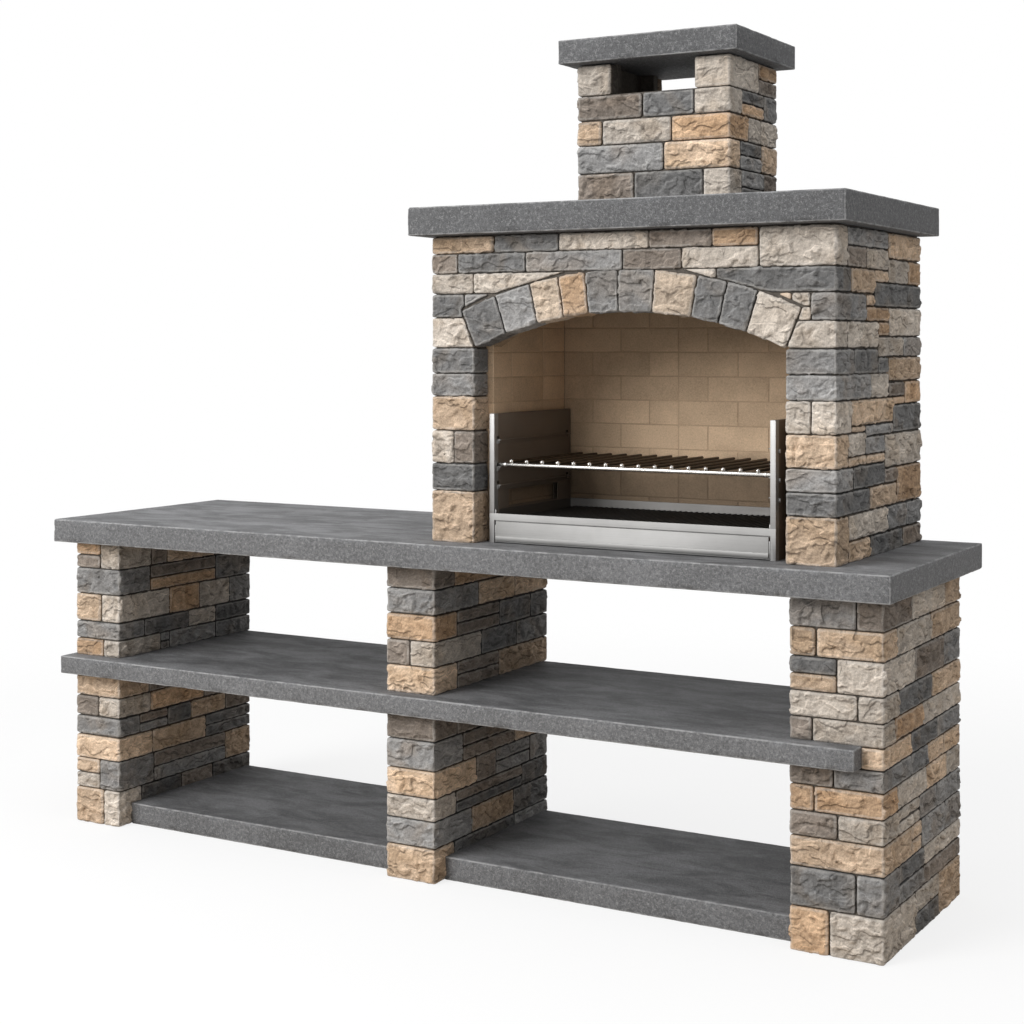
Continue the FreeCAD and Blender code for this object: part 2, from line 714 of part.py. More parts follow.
def side_panels(x0, x1, y0, y1, web0, web1, z0):
    """Folded hollow side panels, each with three rails, slots, a window and bolts."""
    z1 = worktop_top + insert_height
    sides = (("left", x0, web0 + sheet, 1), ("right", web1 - sheet, x1, -1))
    for name, side0, side1, inward in sides:
        panel = block(side0, side1, y0, y1, z0, z1)
        panel = panel.cut(block(side0 + sheet, side1 - sheet, y0 + sheet, y1 - sheet, z0, z1 - sheet))
        panel = panel.cut(block(side0, side1, y0 + window_setback, y1 - window_setback,
                                worktop_top + window_sill_height, worktop_top + window_head_height))
        inner = side1 if inward > 0 else side0
        outer = side0 if inward > 0 else side1
        rail_y0 = y0 + rail_setback
        rail_y1 = y1 - rail_setback
        for level in (low_rail_height, grate_rail_height, high_rail_height):
            z = worktop_top + level
            add("grate_rails", rail(inner, inward, rail_y0, rail_y1, z))
            for y in (rail_y0, rail_y1 - slot_length):
                slot = block(*sorted((inner - inward * sheet, inner)), y, y + slot_length,
                             z + sheet, z + sheet + slot_height)
                panel = panel.cut(slot)
                bolt_y = y + slot_length / 2
                bolt_z = z - rail_depth / 2
                add("panel_bolts", hexagon(outer, bolt_y, bolt_z, bolt_across, -inward * bolt_height))
                add("panel_bolts", hexagon(inner + inward * sheet, bolt_y, bolt_z, bolt_head_across,
                                           inward * bolt_head_height))
        add(f"grill_{name}_panel", panel.removeSplitter())


def rail(face, inward, y0, y1, z):
    """An angle along a side panel: its stem lies on the panel, its leg carries the grate."""
    leg = block(*sorted((face, face + inward * rail_width)), y0, y1, z - sheet, z)
    stem = block(*sorted((face, face + inward * sheet)), y0, y1, z - rail_depth, z - sheet)
    return leg.fuse(stem).removeSplitter()


def ash_drawer(x0, x1, y0, y1):
    """A shallow pan on the base's floor, and its front with a folded lower lip."""
    floor = worktop_top + sheet + seat_gap
    top = floor + drawer_wall_height
    pan_y0 = y0 + sheet
    pan = block(x0, x1, pan_y0, y1, floor, top)
    inside = block(x0 + sheet, x1 - sheet, pan_y0 + sheet, y1 - sheet, floor + sheet, top)
    add("ash_drawer_pan", pan.cut(inside))
    face0 = worktop_top + drawer_front_base
    face1 = worktop_top + base_height - front_rail_height - drawer_front_gap
    front_x0 = x0 + drawer_front_side_gap
    front_x1 = x1 - drawer_front_side_gap
    front = block(front_x0, front_x1, y0, y0 + sheet, face0, face1)
    lip = block(front_x0, front_x1, y0 - drawer_lip_depth, y0, face0, face0 + drawer_lip_height)
    add("ash_drawer_front", front.fuse(lip).removeSplitter())


def charcoal_tray(x0, x1, y0, y1):
    """A rimmed tray on the base's ledges, with bars across its open floor."""
    z0 = worktop_top + tray_seat_height + seat_gap
    z1 = z0 + tray_rim_height
    lip_top = z0 + tray_lip_height
    ledge = tray_seat_width + sheet
    rim = block(x0, x1, y0, y1, z0, z1)
    rim = rim.cut(block(x0 + ledge, x1 - ledge, y0 + ledge, y1 - ledge, z0, z1))
    rim = rim.cut(block(x0 + sheet, x1 - sheet, y0 + sheet, y1 - sheet, z0 + sheet, z1))
    rim = rim.cut(block(x0 + sheet, x1 - sheet, y0, y0 + sheet, lip_top, z1))
    add("charcoal_tray", rim)
    count = int((x1 - x0 - 2 * ledge) / coal_bar_pitch)
    start = (x0 + x1 - (count - 1) * coal_bar_pitch) / 2
    for index in range(count):
        x = start + index * coal_bar_pitch
        bar = block(x - coal_bar_width / 2, x + coal_bar_width / 2, y0 + sheet, y1 - sheet,
                    z0 + sheet, z0 + sheet + coal_bar_height)
        add("charcoal_grate_bars", bar)


def cooking_grate(x0, x1, y0, y1):
    """Two cross rods with end collars, and round bars laid over them from front to back."""
    z = worktop_top + grate_rail_height + seat_gap + grate_rod / 2
    y_rods = (y0 + grate_front_rod_inset, y1 - grate_back_rod_inset)
    for y in y_rods:
        add("cooking_grate_rods", rod((x0, y, z), (1, 0, 0), grate_rod, x1 - x0))
    bar_z = z + (grate_rod + grate_bar) / 2
    first = x0 + grate_end_margin
    pitch = (x1 - x0 - 2 * grate_end_margin) / (grate_bar_count - 1)
    for index in range(grate_bar_count):
        add("cooking_grate_bars", rod((first + index * pitch, y0, bar_z), (0, 1, 0), grate_bar, y1 - y0))
    for x in (x0 + rail_width + collar_length, x1 - rail_width - 2 * collar_length):
        sleeve = rod((x, y_rods[0], z), (1, 0, 0), collar_diameter, collar_length)
        add("cooking_grate_collars", sleeve.cut(rod((x, y_rods[0], z), (1, 0, 0), grate_rod, collar_length)))


left_x0 = LEFT + left_pier_inset
left_x1 = left_x0 + left_pier_width
middle_x0 = LEFT + middle_pier_position
middle_x1 = middle_x0 + middle_pier_width
right_x1 = RIGHT - right_pier_inset
right_x0 = right_x1 - right_pier_width
shelf_end = right_x0 + shelf_bearing_length

piers()
slabs()
hearth()
arch()
lining()
chimney()
grill_insert()

os.makedirs("parts", exist_ok=True)
for node, solids in sorted(nodes.items()):
    shape = solids[0] if len(solids) == 1 else Part.makeCompound(solids)
    shape.exportStep(f"parts/{node}.step")
print(len(nodes), "nodes,", sum(len(solids) for solids in nodes.values()), "solids")
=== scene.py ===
"""Looks of a stone garden barbecue: split stone, cast slabs, firebrick and a steel grill insert.

Every piece is made from the CAD solid that it stands for, in the same frame, in metres.
"""

import json
import math

import bpy
import numpy as np
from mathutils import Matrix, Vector


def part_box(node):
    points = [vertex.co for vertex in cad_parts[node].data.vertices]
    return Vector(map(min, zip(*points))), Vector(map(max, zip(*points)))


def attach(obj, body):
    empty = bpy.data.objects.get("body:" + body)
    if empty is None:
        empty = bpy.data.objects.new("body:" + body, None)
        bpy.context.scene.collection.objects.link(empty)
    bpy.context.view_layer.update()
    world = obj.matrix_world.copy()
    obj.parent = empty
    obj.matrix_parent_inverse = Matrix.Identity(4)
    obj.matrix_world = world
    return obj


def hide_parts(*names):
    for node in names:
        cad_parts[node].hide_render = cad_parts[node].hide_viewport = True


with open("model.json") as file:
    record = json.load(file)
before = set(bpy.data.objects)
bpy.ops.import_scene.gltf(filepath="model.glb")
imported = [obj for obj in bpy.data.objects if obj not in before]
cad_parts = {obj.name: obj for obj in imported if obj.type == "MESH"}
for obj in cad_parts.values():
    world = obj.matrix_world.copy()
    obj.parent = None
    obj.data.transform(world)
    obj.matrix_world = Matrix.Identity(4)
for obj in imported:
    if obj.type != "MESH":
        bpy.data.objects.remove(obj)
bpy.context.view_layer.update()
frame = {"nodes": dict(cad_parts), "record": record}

record = frame["record"]
body_of = {node: body for body, members in record["behaviour"]["bodies"].items() for node in members}

STONE_KINDS = ("charcoal", "grey", "cream", "buff", "honey", "brown")
STONE_PLACES = ("left_pier", "middle_pier", "right_pier", "hearth", "chimney")
SLABS = ("worktop", "middle_shelf", "base_slab_left", "base_slab_right", "mantel_slab", "chimney_cap")
BRICK_WALLS = ("firebrick_back", "firebrick_left", "firebrick_right")
SHEET_PIECES = ("grill_base", "grill_left_panel", "grill_right_panel", "grate_rails", "ash_drawer_pan",
                "panel_bolts")
# The arch stones' kinds, from the left springing to the right one
ARCH_KINDS = ("charcoal", "grey", "sand", "honey", "grey",
              "charcoal", "sand", "charcoal", "charcoal", "cream")

# Colour of each kind of stone, and the colour and share of its stains
STONE_COLOUR = {
    "charcoal": (0.17, 0.168, 0.166), "grey": (0.27, 0.265, 0.26), "cream": (0.52, 0.462, 0.4),
    "buff": (0.59, 0.445, 0.32), "honey": (0.53, 0.365, 0.235), "brown": (0.25, 0.212, 0.18),
    "sand": (0.53, 0.43, 0.335)}
STONE_STAIN = {
    "charcoal": ((0.2, 0.17, 0.14), 0.55), "grey": ((0.32, 0.265, 0.215), 0.45),
    "cream": ((0.47, 0.38, 0.29), 0.5), "buff": ((0.46, 0.32, 0.2), 0.55),
    "honey": ((0.42, 0.25, 0.13), 0.4), "brown": ((0.23, 0.175, 0.13), 0.5),
    "arch": ((0.36, 0.3, 0.24), 0.3)}

# Split stone: the skin of a stone, the joint to the next one, and how its rims are found
stone_cell = 0.004
stone_smoothing = 13
stone_seed = 11
pattern_shift = 40.0
stone_thickness = 0.036
stone_swell = 0.0017
joint_depth = 0.008
flat_angle = math.radians(0.4)
rim_spread = 3
arris_spread = 1
square_edge = 0.25
# How far behind a seen face the stone is still split, and how rough the backs and reveals are
open_reach = 0.004
reveal_roughness = 0.45
# The pattern of the split: bent bedding planes, ledges along them, and the limits of the relief,
# which never goes below the ground
bend_scale = 15.0
bend_reach = 0.05
bedding_stretch = (0.6, 0.6, 1.3)
ledge_scale = 17.0
ledge_count = 6.0
relief_limit = 0.0045
relief_unit = 0.005
ground_bound = (-9.0, -9.0, 0.0)
# Fine carving in the material, and the step towards the light that paints light and shade on it: lighter
# where it faces the light, darker where it faces away
carved_ledge = 0.0018
carved_crest = 0.0042
carved_grain = 0.004
toward_light = (-0.0016, 0.0, 0.003)
# Painted shade into the joints, raked deeper on the side walls, and pale wear on the arrises that also
# paints a highlight along them
side_rake = 2.4
shade_start = 0.002
shade_full = 0.0058
joint_shade = 0.28
wear_highlight_start = 0.0016
wear_highlight_end = 0.0036
wear_highlight_share = 0.28
worn_stone_highlight = (0.62, 0.6, 0.57)
# Hearth opening and stack, as the solids have them
opening_left = 0.134
opening_right = 0.990
arch_spring = 1.410
arch_rise = 0.090
arch_facets = 24
vent_sill = 2.066
panel_gap = 0.001
# Cast slabs
slab_cell = 0.014
slab_radius = 0.003
arris_lines = 4
arris_margin = 0.0008
flue_margin = 0.05
flue_overshoot = 0.01
slab_tone = {"mantel_slab": 0.8, "chimney_cap": 0.8, "worktop": 1.08, "middle_shelf": 1.08}
concrete_colour = (0.138, 0.139, 0.143)
fleck_colour = (0.44, 0.44, 0.44)
# Pale wear on the slab arrises, which also paints a highlight along them
worn_concrete_highlight = (0.4, 0.4, 0.4)
# Firebrick, darker towards the bottom behind the coals, with painted shade high up under the arch and in
# the inner corners, and painted light on the left and back walls
brick_cell = 0.034
brick_radius = 0.0013
pointing_depth = 0.001
# Painted light: the left and back walls' bricks are made lighter than the right one's
painted_wall_light = {"firebrick_left": 1.26, "firebrick_back": 1.06}
brick_colour = (0.54, 0.395, 0.265)
pointing_colour = (0.44, 0.322, 0.217)
pit_colour = (0.1, 0.075, 0.055)
dark_bottom_start = 1.05
dark_bottom_end = 1.14
arch_shade_start = 1.36
arch_shade_end = 1.62
corner_shade_full = 0.0015
corner_shade_end = 0.005
# Mortar, and the arch backing painted the colour of firebrick in shade
mortar_colour = (0.12, 0.106, 0.092)
shaded_backing_colour = (0.34, 0.25, 0.17)
# Steel, with painted shade on what lies behind the lit front
fold_radius = 0.0005
fold_segments = 2
crease_angle = math.radians(35)
front_shade_from = -0.238
rod_shade_from = -0.2
shade_edge = 0.006
brushed = (6.0, 6.0, 900.0)
grained = (500.0, 500.0, 500.0)
bead_diameter = 0.012
bead_seat = 0.45
round_sides = 14
bead_rings = 9
bar_black = (0.032, 0.031, 0.03)
bar_ash = (0.07, 0.068, 0.065)
grate_dark = (0.05, 0.04, 0.03)
grate_brown = (0.12, 0.095, 0.07)
bead_bright = (0.78, 0.77, 0.75)
# Studio: the camera, the pale floor and the surround
camera_place = (2.537, -4.2394, 1.423)
camera_turn = math.radians(30.14)
camera_lens = 62.52
camera_sensor = 36.0
camera_shift = -0.166
floor_half = 14.0
floor_drop = 0.001
floor_fade_start = 1.6
floor_fade_end = 4.2
floor_glow = 0.8
floor_colour = (0.86, 0.86, 0.86)
floor_bounce = (0.53, 0.475, 0.415)
surround_light = 0.42
# Each lamp: its place, what it points at, its size and its power
LAMPS = {
    "key": ((-3.0, -7.0, 4.4), (0.1, 0.0, 0.9), 5.0, 640.0),
    "side": ((5.6, -1.6, 4.2), (0.9, 0.0, 1.0), 3.0, 30.0),
    "top": ((0.2, -0.6, 6.0), (0.0, 0.0, 0.0), 5.0, 130.0),
}


class Graph:
    """Adds nodes to a tree and joins them: a socket given as a value is linked, anything else is set."""

    def __init__(self, tree):
        self.tree = tree

    def put(self, socket, value):
        if isinstance(value, bpy.types.NodeSocket):
            self.tree.links.new(value, socket)
        else:
            socket.default_value = value

    def add(self, kind, values=None, **settings):
        made = self.tree.nodes.new(kind)
        for name, value in settings.items():
            setattr(made, name, value)
        for name, value in (values or {}).items():
            self.put(made.inputs[name], value)
        return made

    def math(self, operation, *values, clamp=False):
        made = self.add("ShaderNodeMath", operation=operation, use_clamp=clamp)
        for socket, value in zip(made.inputs, values):
            self.put(socket, value)
        return made.outputs[0]

    def times(self, one, two):
        return self.math("MULTIPLY", one, two)

    def vector(self, operation, *values):
        made = self.add("ShaderNodeVectorMath", operation=operation)
        for socket, value in zip(made.inputs, values):
            self.put(socket, value)
        return made.outputs["Value" if operation in ("DOT_PRODUCT", "LENGTH") else "Vector"]

    def scaled(self, vector, factor):
        made = self.add("ShaderNodeVectorMath", {"Scale": factor}, operation="SCALE")
        self.put(made.inputs[0], vector)
        return made.outputs[0]

    def ramp(self, value, low, high, to_low=0.0, to_high=1.0, smooth=True):
        made = self.add("ShaderNodeMapRange", {
            "Value": value, "From Min": low, "From Max": high, "To Min": to_low, "To Max": to_high},
            interpolation_type="SMOOTHSTEP" if smooth else "LINEAR")
        return made.outputs["Result"]

    def noise(self, where, scale, detail=3.0, roughness=0.55, distortion=0.0):
        made = self.add("ShaderNodeTexNoise", {
            "Vector": where, "Scale": scale, "Detail": detail, "Roughness": roughness,
            "Distortion": distortion})
        return made.outputs[0]

    def voronoi(self, where, scale, feature="F1"):
        return self.add("ShaderNodeTexVoronoi", {"Vector": where, "Scale": scale}, feature=feature)

    def mix(self, factor, first, second):
        made = self.add("ShaderNodeMix", data_type="RGBA")
        for name, value in (("Factor_Float", factor), ("A_Color", first), ("B_Color", second)):
            socket = next(s for s in made.inputs if s.identifier == name)
            self.put(socket, value)
        return next(s for s in made.outputs if s.identifier == "Result_Color")

    def warped(self, where, scale, reach):
        """The place pushed about by noise, so that what is drawn there bends."""
        made = self.add("ShaderNodeTexNoise", {"Vector": where, "Scale": scale, "Detail": 3.0})
        push = self.vector("SUBTRACT", made.outputs["Color"], (0.5, 0.5, 0.5))
        return self.vector("ADD", where, self.scaled(push, reach))

    def facets(self, where, scale, slope):
        """Heights of flat chips, each tilted its own way."""
        cell = self.voronoi(where, scale)
        tilt = self.vector("SUBTRACT", cell.outputs["Color"], (0.5, 0.5, 0.5))
        offset = self.vector("SUBTRACT", where, cell.outputs["Position"])
        return self.times(self.vector("DOT_PRODUCT", tilt, offset), slope)

    def ridges(self, where, scale, detail):
        """Sharp crests with hollows between, from about 0 to 1."""
        made = self.add("ShaderNodeTexNoise", {"Vector": where, "Scale": scale, "Detail": detail},
                        noise_type="RIDGED_MULTIFRACTAL")
        return self.ramp(made.outputs[0], 0.0, 1.9, smooth=False)

    def ledges(self, where, scale, count):
        """Cleavage ledges: how many flat treads up a place is, and how far it is on the steep riser."""
        climb = self.times(self.noise(where, scale, 2.0, 0.5, 0.4), count)
        tread = self.math("FLOOR", climb)
        share = self.math("SUBTRACT", climb, tread)
        height = self.math("SUBTRACT", self.math("ADD", tread, self.ramp(share, 0.72, 0.98)), count / 2)
        riser = self.times(self.ramp(share, 0.66, 0.84), self.ramp(share, 0.9, 1.0, 1.0, 0.0))
        return height, riser

    def attribute(self, name, output="Fac"):
        """A value kept on the mesh, in a material."""
        return self.add("ShaderNodeAttribute", attribute_name=name).outputs[output]

    def named(self, name, kind="FLOAT"):
        """A value kept on the mesh, in a geometry tree."""
        return self.add("GeometryNodeInputNamedAttribute", {"Name": name}, data_type=kind).outputs[0]


def rgba(colour):
    return (*colour, 1.0)


def finish(name):
    """A new material, with its graph and its shader."""
    material = bpy.data.materials.new(name)
    material.use_nodes = True
    graph = Graph(material.node_tree)
    return material, graph, material.node_tree.nodes["Principled BSDF"]


def object_place(graph):
    return graph.add("ShaderNodeTexCoord").outputs["Object"]


def bump(graph, shader, height, distance, strength=1.0):
    made = graph.add("ShaderNodeBump", {"Height": height, "Distance": distance, "Strength": strength})
    graph.put(shader.inputs["Normal"], made.outputs["Normal"])


def carved(graph, where):
    """Heights of the fine carving on a split face, in metres, and its risers."""
    bedded = graph.vector("MULTIPLY", graph.warped(where, bend_scale, bend_reach), bedding_stretch)
    ledge, riser = graph.ledges(bedded, ledge_scale, ledge_count)
    height = graph.math("ADD", graph.times(ledge, carved_ledge),
                        graph.times(graph.ridges(bedded, 50.0, 4.0), carved_crest))
    grain = graph.times(graph.noise(where, 120.0, 4.0, 0.65), carved_grain)
    return graph.math("ADD", height, grain), riser


def split_stone_finish(kind, base, stain, stain_share):
    """Split stone: carved ledges with painted light and shade, painted shade on their risers, in the
    hollows and into the joints, mottling, stains, and pale worn rims that also paint a highlight.
    """
    material, graph, shader = finish(f"{kind}_stone")
    where = graph.vector("ADD", object_place(graph), graph.attribute("shift", "Vector"))
    tone = graph.attribute("tone")
    rim = graph.attribute("rim")
    arris = graph.attribute("arris")
    relief = graph.attribute("relief")
    depth = graph.attribute("depth")
    colour = graph.attribute("tint", "Color") if base is None else base
    mottle = graph.noise(where, 22.0, 5.0, 0.6)
    cloud = graph.noise(where, 7.0, 2.0, 0.5, 0.8)
    grain = graph.noise(where, 300.0, 3.0, 0.7)
    height, riser = carved(graph, where)
    higher, _ = carved(graph, graph.vector("ADD", where, toward_light))
    inner = graph.ramp(rim, 0.2, 0.8, 1.0, 0.25)
    # Painted light and shade on the carving: lighter where it faces the light, darker where it faces away
    painted_relief_light = graph.times(graph.math("SUBTRACT", height, higher), inner)
    riser = graph.times(graph.times(riser, inner), graph.ramp(cloud, 0.44, 0.62))
    level = graph.ramp(mottle, 0.3, 0.7, 0.92, 1.12)
    level = graph.math("ADD", level, graph.ramp(tone, 0.0, 1.0, -0.2, 0.14))
    level = graph.math("ADD", level, graph.ramp(grain, 0.25, 0.75, -0.16, 0.16))
    # Painted shade in the hollows of the relief and painted light on its crests
    level = graph.times(level, graph.ramp(relief, -0.9, 0.9, 0.88, 1.12))
    # Apply the painted light and shade of the carving
    level = graph.times(level, graph.ramp(painted_relief_light, -0.0014, 0.0014, 0.62, 1.4, smooth=False))
    # Painted shade on the steep risers of the ledges
    level = graph.times(level, graph.ramp(riser, 0.0, 1.0, 1.0, 0.7))
    # Painted shade deep in the joints
    level = graph.times(level, graph.ramp(depth, shade_start, shade_full, 1.0, joint_shade))
    colour = graph.scaled(colour, level)
    stained = graph.times(graph.ramp(cloud, 0.46, 0.68), stain_share)
    colour = graph.mix(stained, colour, graph.scaled(stain, level))
    # Pale wear on the arrises, which also paints a highlight along them
    wear_and_highlight = graph.times(graph.ramp(arris, 0.02, 0.1), graph.ramp(mottle, 0.35, 0.6, 0.3, 1.0))
    wear_and_highlight = graph.times(wear_and_highlight, graph.ramp(depth, wear_highlight_start, wear_highlight_end, 1.0, 0.0))
    colour = graph.mix(graph.times(wear_and_highlight, wear_highlight_share), colour, rgba(worn_stone_highlight))
    graph.put(shader.inputs["Base Color"], colour)
    graph.put(shader.inputs["Roughness"], graph.ramp(grain, 0.2, 0.8, 0.78, 0.95))
    shader.inputs["Specular IOR Level"].default_value = 0.25
    height = graph.math("ADD", graph.times(height, inner), graph.times(grain, 0.0009))
    bump(graph, shader, height, 1.0)
    return material


def cast_concrete_finish():
    """Dark cast concrete: cloudy trowelled tops, sides with pale flecks and curls, worn arrises that also
    carry a painted highlight.
    """
    material, graph, shader = finish("cast_concrete")
    where = object_place(graph)
    rim = graph.attribute("rim")
    normal = graph.add("ShaderNodeNewGeometry").outputs["Normal"]
    up = graph.ramp(graph.add("ShaderNodeSeparateXYZ", {0: normal}).outputs["Z"], 0.6, 0.9)
    side = graph.math("SUBTRACT", 1.0, up)
    cloud = graph.noise(where, 3.4, 6.0, 0.62, 0.5)
    streak = graph.noise(graph.vector("MULTIPLY", where, (2.2, 5.0, 2.2)), 2.6, 6.0, 0.66, 0.5)
    grain = graph.noise(where, 300.0, 4.0, 0.8)
    blotch = graph.noise(where, 110.0, 4.0, 0.7)
    level = graph.times(graph.ramp(cloud, 0.3, 0.7, 0.84, 1.16), graph.attribute("tone"))
    streak = graph.times(up, graph.ramp(streak, 0.34, 0.66, -0.32, 0.35))
    level = graph.times(level, graph.math("ADD", 1.0, streak))
    level = graph.times(level, graph.ramp(grain, 0.3, 0.7, 0.66, 1.34))
    stain = graph.times(side, graph.ramp(blotch, 0.3, 0.7, -0.24, 0.1))
    level = graph.times(level, graph.math("ADD", 1.0, stain))
    colour = graph.scaled(concrete_colour, level)
    curl = graph.warped(where, 110.0, 0.02)
    hair = graph.voronoi(curl, 125.0, "DISTANCE_TO_EDGE").outputs["Distance"]
    patch = graph.noise(where, 120.0, 3.0)
    hair = graph.times(graph.ramp(hair, 0.0, 0.1, 1.0, 0.0), graph.ramp(patch, 0.48, 0.58))
    fleck = graph.ramp(graph.voronoi(where, 380.0).outputs["Distance"], 0.16, 0.4, 1.0, 0.0)
    fleck = graph.times(fleck, graph.ramp(patch, 0.48, 0.6))
    pale = graph.math("ADD", graph.times(fleck, 0.3), graph.times(hair, 0.34), clamp=True)
    pale = graph.times(pale, graph.ramp(side, 0.0, 1.0, 0.3, 1.0))
    colour = graph.mix(pale, colour, rgba(fleck_colour))
    # Pale wear on the arrises, which also paints a highlight along them
    wear_and_highlight = graph.times(rim, graph.ramp(graph.noise(where, 30.0, 5.0, 0.65), 0.36, 0.6, 0.2, 1.0))
    colour = graph.mix(graph.times(wear_and_highlight, 0.6), colour, rgba(worn_concrete_highlight))
    graph.put(shader.inputs["Base Color"], colour)
    graph.put(shader.inputs["Roughness"], graph.ramp(cloud, 0.3, 0.7, 0.66, 0.86))
    shader.inputs["Specular IOR Level"].default_value = 0.3
    height = graph.math("ADD", grain, graph.times(blotch, 1.6))
    bump(graph, shader, height, 0.0012)
    return material


def firebrick_finish():
    """Fine grained brown-beige firebrick, no two alike, darker towards the bottom behind the coals, with
    painted shade under the arch and in the inner corners, and painted light on the left and back walls.
    """
    material, graph, shader = finish("firebrick")
    where = graph.vector("ADD", object_place(graph), graph.attribute("shift", "Vector"))
    height_above = graph.add("ShaderNodeSeparateXYZ", {0: object_place(graph)}).outputs["Z"]
    tone = graph.attribute("tone")
    cloud = graph.noise(where, 7.0, 4.0, 0.6)
    grain = graph.noise(where, 240.0, 5.0, 0.75)
    pit = graph.ramp(graph.voronoi(where, 210.0).outputs["Distance"], 0.08, 0.3, 1.0, 0.0)
    pit = graph.times(pit, graph.ramp(graph.noise(where, 90.0, 2.0), 0.52, 0.66))
    level = graph.ramp(cloud, 0.3, 0.7, 0.9, 1.1)
    level = graph.math("ADD", level, graph.ramp(tone, 0.0, 1.0, -0.05, 0.05))
    level = graph.math("ADD", level, graph.ramp(grain, 0.2, 0.8, -0.2, 0.2))
    # Painted shade high up under the arch
    level = graph.times(level, graph.ramp(height_above, arch_shade_start, arch_shade_end, 1.0, 0.72))
    # Darker towards the bottom, behind the coals
    uneven = graph.ramp(graph.noise(object_place(graph), 6.0, 3.0), 0.3, 0.7, -0.02, 0.02)
    uneven_height = graph.math("ADD", height_above, uneven)
    level = graph.times(level, graph.ramp(uneven_height, dark_bottom_start, dark_bottom_end, 0.4, 1.0))
    # Painted shade in the inner corners of the fire chamber
    corner = graph.ramp(graph.attribute("corner"), corner_shade_full, corner_shade_end, 0.4, 1.0)
    level = graph.times(level, corner)
    colour = graph.mix(graph.attribute("pointing"), rgba(brick_colour), rgba(pointing_colour))
    # Painted light, stronger on the left and back walls
    colour = graph.scaled(colour, graph.times(level, graph.attribute("wall")))
    colour = graph.mix(graph.times(pit, 0.45), colour, rgba(pit_colour))
    graph.put(shader.inputs["Base Color"], colour)
    graph.put(shader.inputs["Roughness"], graph.ramp(grain, 0.2, 0.8, 0.84, 0.96))
    shader.inputs["Specular IOR Level"].default_value = 0.22
    bump(graph, shader, graph.math("SUBTRACT", grain, pit), 0.0009)
    return material


def mortar_finish(name, colour):
    """Rough bedding mortar, seen only between the stones, behind the arch and inside the stack."""
    material, graph, shader = finish(name)
    where = object_place(graph)
    grain = graph.noise(where, 130.0, 6.0, 0.7)
    cloud = graph.noise(where, 8.0, 3.0)
    level = graph.times(graph.ramp(grain, 0.25, 0.75, 0.7, 1.25), graph.ramp(cloud, 0.3, 0.7, 0.85, 1.15))
    graph.put(shader.inputs["Base Color"], graph.scaled(colour, level))
    shader.inputs["Roughness"].default_value = 0.95
    shader.inputs["Specular IOR Level"].default_value = 0.15
    bump(graph, shader, grain, 0.002)
    return material


def steel_finish(name, base, stretch, rough, inner_shade, inner_shade_colour, shade_from=front_shade_from):
    """Brushed steel: fine lines along one direction, faint stains, painted shade behind the lit front."""
    material, graph, shader = finish(name)
    where = object_place(graph)
    line = graph.noise(graph.vector("MULTIPLY", where, stretch), 1.0, 4.0, 0.6)
    cloud = graph.noise(where, 9.0, 4.0, 0.6)
    depth = graph.add("ShaderNodeSeparateXYZ", {0: where}).outputs["Y"]
    # Painted shade on the inner parts of the insert, behind its lit front edge
    painted_shade = graph.times(graph.ramp(depth, shade_from, shade_from + shade_edge),
                        graph.ramp(cloud, 0.25, 0.75, inner_shade * 0.9, inner_shade))
    level = graph.times(graph.ramp(line, 0.25, 0.75, 0.9, 1.08), graph.ramp(cloud, 0.3, 0.7, 0.94, 1.05))
    colour = graph.mix(painted_shade, graph.scaled(base, level), rgba(inner_shade_colour))
    graph.put(shader.inputs["Base Color"], colour)
    shader.inputs["Metallic"].default_value = 1.0
    roughness = graph.math("ADD", graph.ramp(line, 0.25, 0.75, *rough),
                           graph.times(painted_shade, 0.16))
    graph.put(shader.inputs["Roughness"], roughness)
    bump(graph, shader, line, 0.00012, 0.6)
    return material


def blackened_finish():
    """Blackened bars under the coals, with ash-grey scale."""
    material, graph, shader = finish("blackened_bars")
    where = object_place(graph)
    scale = graph.noise(where, 60.0, 5.0, 0.7)
    colour = graph.mix(graph.ramp(scale, 0.5, 0.8, 0.0, 0.35), rgba(bar_black), rgba(bar_ash))
    graph.put(shader.inputs["Base Color"], colour)
    graph.put(shader.inputs["Roughness"], graph.ramp(scale, 0.3, 0.7, 0.62, 0.85))
    shader.inputs["Specular IOR Level"].default_value = 0.25
    bump(graph, shader, scale, 0.0006)
    return material


def paint(obj, material):
    """Give an object one material."""
    obj.data.materials.clear()
    obj.data.materials.append(material)


def hand_over(obj, node):
    """The finished piece rides where its CAD node does and stands for it, which is hidden."""
    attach(obj, body_of[node])
    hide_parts(node)


def new_object(name, data):
    obj = bpy.data.objects.new(name, data)
    bpy.context.scene.collection.objects.link(obj)
    return obj


def made_mesh(name, points, faces):
    mesh = bpy.data.meshes.new(name)
    mesh.from_pydata(points, [], faces)
    mesh.update()
    return mesh


def solids_of(node):
    """Points and triangles of each separate solid in a CAD node, its doubles merged."""
    mesh = frame["nodes"][node].data
    points = np.empty(len(mesh.vertices) * 3)
    mesh.vertices.foreach_get("co", points)
    mesh.calc_loop_triangles()
    triangles = np.empty(len(mesh.loop_triangles) * 3, np.int64)
    mesh.loop_triangles.foreach_get("vertices", triangles)
    points, merged = np.unique(np.round(points.reshape(-1, 3), 5), axis=0, return_inverse=True)
    triangles = merged.reshape(-1)[triangles].reshape(-1, 3)
    label = np.arange(len(points))
    while True:
        lower = label.copy()
        np.minimum.at(lower, triangles.ravel(), np.repeat(label[triangles].min(axis=1), 3))
        if (lower == label).all():
            break
        label = lower
    found = []
    for first in np.unique(label):
        mine = np.flatnonzero(label == first)
        place = np.full(len(points), -1)
        place[mine] = np.arange(len(mine))
        found.append((points[mine], place[triangles[label[triangles[:, 0]] == first]]))
    return found


